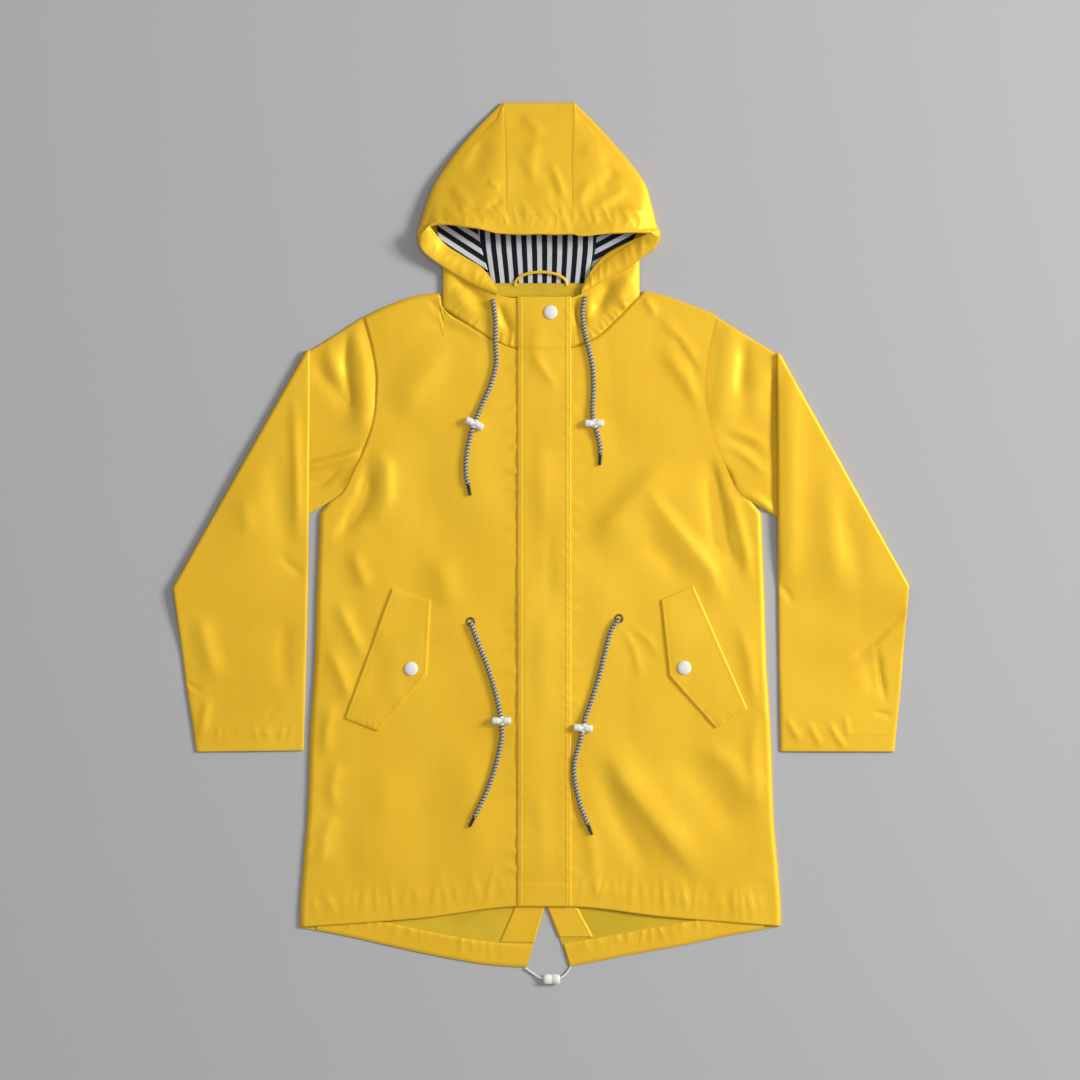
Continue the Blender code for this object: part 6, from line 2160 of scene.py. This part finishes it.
HOOD_LEFT = (
    (-0.0571, 0.2819), (-0.0538, 0.2570), (-0.0538, 0.2300), (-0.0529, 0.2065), (-0.0589, 0.1813),
    (-0.0690, 0.1577), (-0.0774, 0.1375), (-0.0841, 0.1174), (-0.0883, 0.0955), (-0.0892, 0.0754),
    (-0.0866, 0.0601),
)
HOOD_RIGHT = (
    (0.0532, 0.2850), (0.0503, 0.2664), (0.0524, 0.2460), (0.0569, 0.2272), (0.0612, 0.2083),
    (0.0634, 0.1894), (0.0634, 0.1705), (0.0624, 0.1500), (0.0640, 0.1350), (0.0682, 0.1210),
    (0.0716, 0.1051), (0.0716, 0.0965),
)
WAIST_LEFT = (
    (-0.0839, -0.1039), (-0.0746, -0.1288), (-0.0631, -0.1586), (-0.0540, -0.1884), (-0.0482, -0.2137),
    (-0.0460, -0.2366), (-0.0494, -0.2597), (-0.0575, -0.2894), (-0.0678, -0.3148), (-0.0792, -0.3377),
)
WAIST_RIGHT = (
    (0.0940, -0.1001), (0.0844, -0.1150), (0.0774, -0.1402), (0.0706, -0.1678), (0.0614, -0.1976),
    (0.0534, -0.2206), (0.0476, -0.2458), (0.0407, -0.2734), (0.0419, -0.2986), (0.0487, -0.3262),
    (0.0568, -0.3468),
)
HEM_ELASTIC = (
    (-0.0185, -0.5193), (-0.0110, -0.5245), (-0.0030, -0.5298), (0.0050, -0.5318), (0.0134, -0.5321),
    (0.0218, -0.5315), (0.0290, -0.5275), (0.0340, -0.5215), (0.0365, -0.5175),
)


@dataclass
class Cords:
    """Drawcords of the hood and the waist with their toggles and aglets, and the elastic across the vent."""

    bench: Bench
    diameter: float = 0.0056
    elastic_diameter: float = 0.0022
    toggle_length: float = 0.0230
    toggle_diameter: float = 0.0088
    aglet_length: float = 0.0130
    aglet_diameter: float = 0.0038
    lock_size: Triple = (0.0200, 0.0120, 0.0075)
    lock_place: Pair = (0.0134, -0.5324)

    def build(self, ground: Ground) -> None:
        """Lays every cord.

        Args:
            ground: The cloth under the drawcords.
        """
        for name, route, share, tilt, rise in (
            ("hood_{}_left", HOOD_LEFT, 0.675, -27.0, 0.0), ("hood_{}_right", HOOD_RIGHT, 0.795, 0.0, 0.0),
            ("waist_{}_left", WAIST_LEFT, 0.500, 0.0, 0.0012),
            ("waist_{}_right", WAIST_RIGHT, 0.540, -5.0, 0.0012),
        ):
            self.drawcord(ground, name, route, share, tilt, rise)
        self.hem_elastic()

    def tube(self, name: str, path: Array, radius: float) -> Piece:
        """Round cord with its own map: once round across, metres along."""
        turns = np.linspace(0, math.tau, 19)
        tangent = np.gradient(path, axis=0)
        tangent = tangent / np.linalg.norm(tangent, axis=1, keepdims=True)
        side = np.cross(tangent, (0.0, 0.0, 1.0))
        side = side / np.linalg.norm(side, axis=1, keepdims=True)
        up = np.cross(side, tangent)
        along = walked(path)
        points = path[:, None, :] + radius * (
            np.cos(turns)[None, :, None] * side[:, None, :] + np.sin(turns)[None, :, None] * up[:, None, :])
        rows, columns = points.shape[:2]
        index = np.arange(rows * (columns - 1)).reshape(rows, columns - 1)
        wrapped = np.column_stack([index, index[:, 0]])
        sides = (wrapped[:-1, :-1], wrapped[1:, :-1], wrapped[1:, 1:], wrapped[:-1, 1:])
        quads = np.stack(sides, axis=-1).reshape(-1, 4)
        caps = [index[0].tolist(), index[-1][::-1].tolist()]
        made = mesh_object(name, points[:, :-1].reshape(-1, 3), quads.tolist() + caps)
        layer = made.data.uv_layers.new(name="cut")
        values = np.zeros((len(made.data.loops), 2), np.float32)
        count = (rows - 1) * (columns - 1)
        row, column = np.divmod(np.arange(count), columns - 1)
        for corner, (down, right) in enumerate(((0, 0), (1, 0), (1, 1), (0, 1))):
            place = np.column_stack([(column + right) / (columns - 1), along[row + down]])
            values[np.arange(count) * 4 + corner] = place
        layer.data.foreach_set("uv", values.ravel())
        if turned_in(points[:, :-1].reshape(-1, 3), quads[:, :3]):
            made.data.flip_normals()
        return made

    def drawcord(self, ground: Ground, name: str, route: Sequence[Pair], share: float, tilt: float,
                 rise: float) -> None:
        """One drawcord with its toggle and aglet."""
        finishes = self.bench.finishes
        radius = self.diameter / 2
        flat = even_route(route, 96)
        step = int(round(share * (len(flat) - 1)))
        heights = np.array([ground.under(x, y, radius * 0.8) for x, y in flat])
        level = np.convolve(np.pad(heights, 3, mode="edge"), np.ones(7) / 7, mode="valid")
        heights = np.maximum(heights, level)
        far = np.linalg.norm(flat - flat[step], axis=1)
        through = self.toggle_diameter / 2 - radius
        heights = heights + radius * 0.94 + through * (1 - ease((far - 0.008) / 0.014))
        heights = heights + rise * (1 - ease((np.linalg.norm(flat - flat[0], axis=1) - 0.007) / 0.008))
        level = np.convolve(np.pad(heights, 2, mode="edge"), np.ones(5) / 5, mode="valid")
        path = np.column_stack([flat, level])
        cord = self.tube("braid_" + name.format("cord"), path, radius)
        toggle = self.toggle(name.format("toggle"), path, step, tilt)
        aglet = self.aglet(ground, name.format("aglet"), path)
        dress(cord, finishes.braid, Slot.BRAID, name.format("cord"))

    def toggle(self, name: str, path: Array, step: int, tilt: float) -> Piece:
        """Barrel toggle across a drawcord, its hole ringed by a collar on each side."""
        finish = self.bench.finishes.plastic
        tangent = path[step + 1] - path[step - 1]
        tangent = tangent / np.linalg.norm(tangent)
        angle = math.radians(tilt)
        half = np.array((math.cos(angle), math.sin(angle), 0.0)) * self.toggle_length / 2
        r = self.toggle_diameter / 2
        barrel = ((0.0, 0.66 * r), (0.012, 0.80 * r), (0.03, 0.90 * r), (0.055, 0.97 * r), (0.09, r),
                  (0.345, r), (0.365, 0.985 * r), (0.375, 0.93 * r), (0.39, 0.90 * r), (0.61, 0.90 * r),
                  (0.625, 0.93 * r), (0.635, 0.985 * r), (0.655, r), (0.91, r), (0.945, 0.97 * r),
                  (0.97, 0.90 * r), (0.988, 0.80 * r),
                  (1.0, 0.66 * r))
        parts = [turned("barrel", path[step] - half, path[step] + half, barrel, 48)]
        r = self.diameter / 2 + 0.0009
        collar = ((0.0, r), (0.6, r), (1.0, r - 0.0003))
        for way in (-1, 1):
            near, far = path[step] + tangent * way * 0.0033, path[step] + tangent * way * 0.0049
            parts.append(turned("collar", near, far, collar, 32))
        for part in parts:
            part.data.materials.append(finish)
        return dress(joined(f"barrel_{name}", parts), finish, Slot.PLASTIC, name)

    def aglet(self, ground: Ground, name: str, path: Array) -> Piece:
        """Tip on the free end of a drawcord."""
        radius = self.diameter / 2
        tip = path[-1] - path[-3]
        tip[2] = 0.0
        tip = tip / np.linalg.norm(tip)
        end = path[-1] + tip * self.aglet_length
        r = self.aglet_diameter / 2
        floor = max(ground.under(end[0], end[1], r), ground.under(path[-1][0], path[-1][1], r))
        start = path[-1] - tip * 0.0015
        start[2] = end[2] = max(floor + r + 0.0001, path[-1][2] - radius + r)
        shape = ((0.0, 1.12 * r), (0.04, 1.2 * r), (0.10, 1.2 * r), (0.13, 1.03 * r), (0.80, r),
                 (0.93, 0.88 * r), (1.0, 0.62 * r))
        tip = turned(f"tip_{name}", start, end, shape, 32)
        return dress(tip, self.bench.finishes.aglet, Slot.AGLET, name)

    def hem_elastic(self) -> None:
        """Elastic across the foot of the vent with its lock."""
        finishes = self.bench.finishes
        radius = self.elastic_diameter / 2
        length, width, height = self.lock_size
        flat = even_route(HEM_ELASTIC, 70)
        off = np.abs(flat[:, 0] - self.lock_place[0])
        heights = radius + 0.0004 + (height / 2 - radius - 0.0004) * (1 - ease((off - 0.011) / 0.010))
        path = np.column_stack([flat, heights])
        cord = self.tube("elastic_hem", path, radius)
        centre = np.array((*self.lock_place, height / 2))
        half = np.array((length / 2, 0.0, 0.0))
        r = width / 2
        body = ((0.0, 0.60 * r), (0.02, 0.76 * r), (0.06, 0.90 * r), (0.12, 0.98 * r), (0.20, r), (0.44, r),
                (0.46, 0.93 * r), (0.54, 0.93 * r), (0.56, r), (0.80, r), (0.88, 0.98 * r), (0.94, 0.90 * r),
                (0.98, 0.76 * r), (1.0, 0.60 * r))
        lock = turned("lock_hem", centre - half, centre + half, body, 48, flatten=height / width)
        dress(lock, finishes.plastic, Slot.PLASTIC, "hem_toggle")
        dress(cord, finishes.elastic, Slot.ELASTIC, "hem_elastic")


# Studio


@dataclass
class Studio:
    """Camera straight above, pale floor and soft light from the upper right."""

    floor: Material
    view_width: float = 1.296
    middle: Pair = (-0.0006, -0.0060)
    distance: float = 3.2
    key_place: Triple = (4.70, 1.50, 2.80)
    key_size: float = 1.60
    key_power: float = 366.0
    fill_place: Triple = (0.4, 0.2, 3.0)
    fill_size: float = 1.4
    fill_power: float = 10.0
    ambient: float = 0.40

    def camera(self) -> None:
        """Sets the camera above the coat."""
        lens = bpy.data.cameras.new("camera")
        lens.sensor_width = 36.0
        lens.lens = lens.sensor_width * self.distance / self.view_width
        lens.clip_end = 20.0
        eye = bpy.data.objects.new("camera", lens)
        eye.location = (*self.middle, self.distance)
        bpy.context.scene.collection.objects.link(eye)
        bpy.context.scene.camera = eye

    def light(self, name: str, place: Triple, size: float, power: float) -> None:
        """One soft square light aimed at the coat."""
        lamp = bpy.data.lights.new(name, "AREA")
        lamp.size = size
        lamp.energy = power
        item = bpy.data.objects.new(name, lamp)
        item.location = place
        item.rotation_euler = (Vector((0.0, 0.0, 0.0)) - Vector(place)).to_track_quat("-Z", "Y").to_euler()
        bpy.context.scene.collection.objects.link(item)

    def build(self) -> None:
        """Sets floor, lights and surroundings."""
        corners = np.array([(-3, -3, -0.0002), (3, -3, -0.0002), (3, 3, -0.0002), (-3, 3, -0.0002)])
        plane = mesh_object("floor", corners, [[0, 1, 2, 3]])
        plane.data.materials.append(self.floor)
        self.light("key", self.key_place, self.key_size, self.key_power)
        self.light("fill", self.fill_place, self.fill_size, self.fill_power)
        world = bpy.data.worlds.new("studio")
        world.use_nodes = True
        world.node_tree.nodes["Background"].inputs["Color"].default_value = (1.0, 1.0, 1.0, 1.0)
        world.node_tree.nodes["Background"].inputs["Strength"].default_value = self.ambient
        scene = bpy.context.scene
        scene.world = world
        scene.view_settings.view_transform = "Standard"


def main() -> None:
    """Builds the scene in order."""
    logging.basicConfig(level=logging.INFO, format="%(message)s")
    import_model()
    finishes = Finishes.make()
    studio = Studio(finishes.floor)
    studio.camera()
    bench = Bench(CoatForm(), finishes, StitchMaker(finishes.thread))
    body = Body(bench).build()
    LOG.info("body made")
    placket = Placket(bench).build(NECK_RELIEF)
    flaps = PocketFlaps(bench).build()
    LOG.info("placket and flaps made")
    sleeves = Sleeves(bench).build()
    LOG.info("%d sleeves made", len(sleeves))
    hood = Hood(bench).build()
    LOG.info("hood made")
    ground = Ground([*body, placket, *flaps, *hood])
    Hardware(bench).build(ground)
    Cords(bench).build(ground)
    LOG.info("hardware and cords made")
    studio.build()


if __name__ == "__main__":
    main()
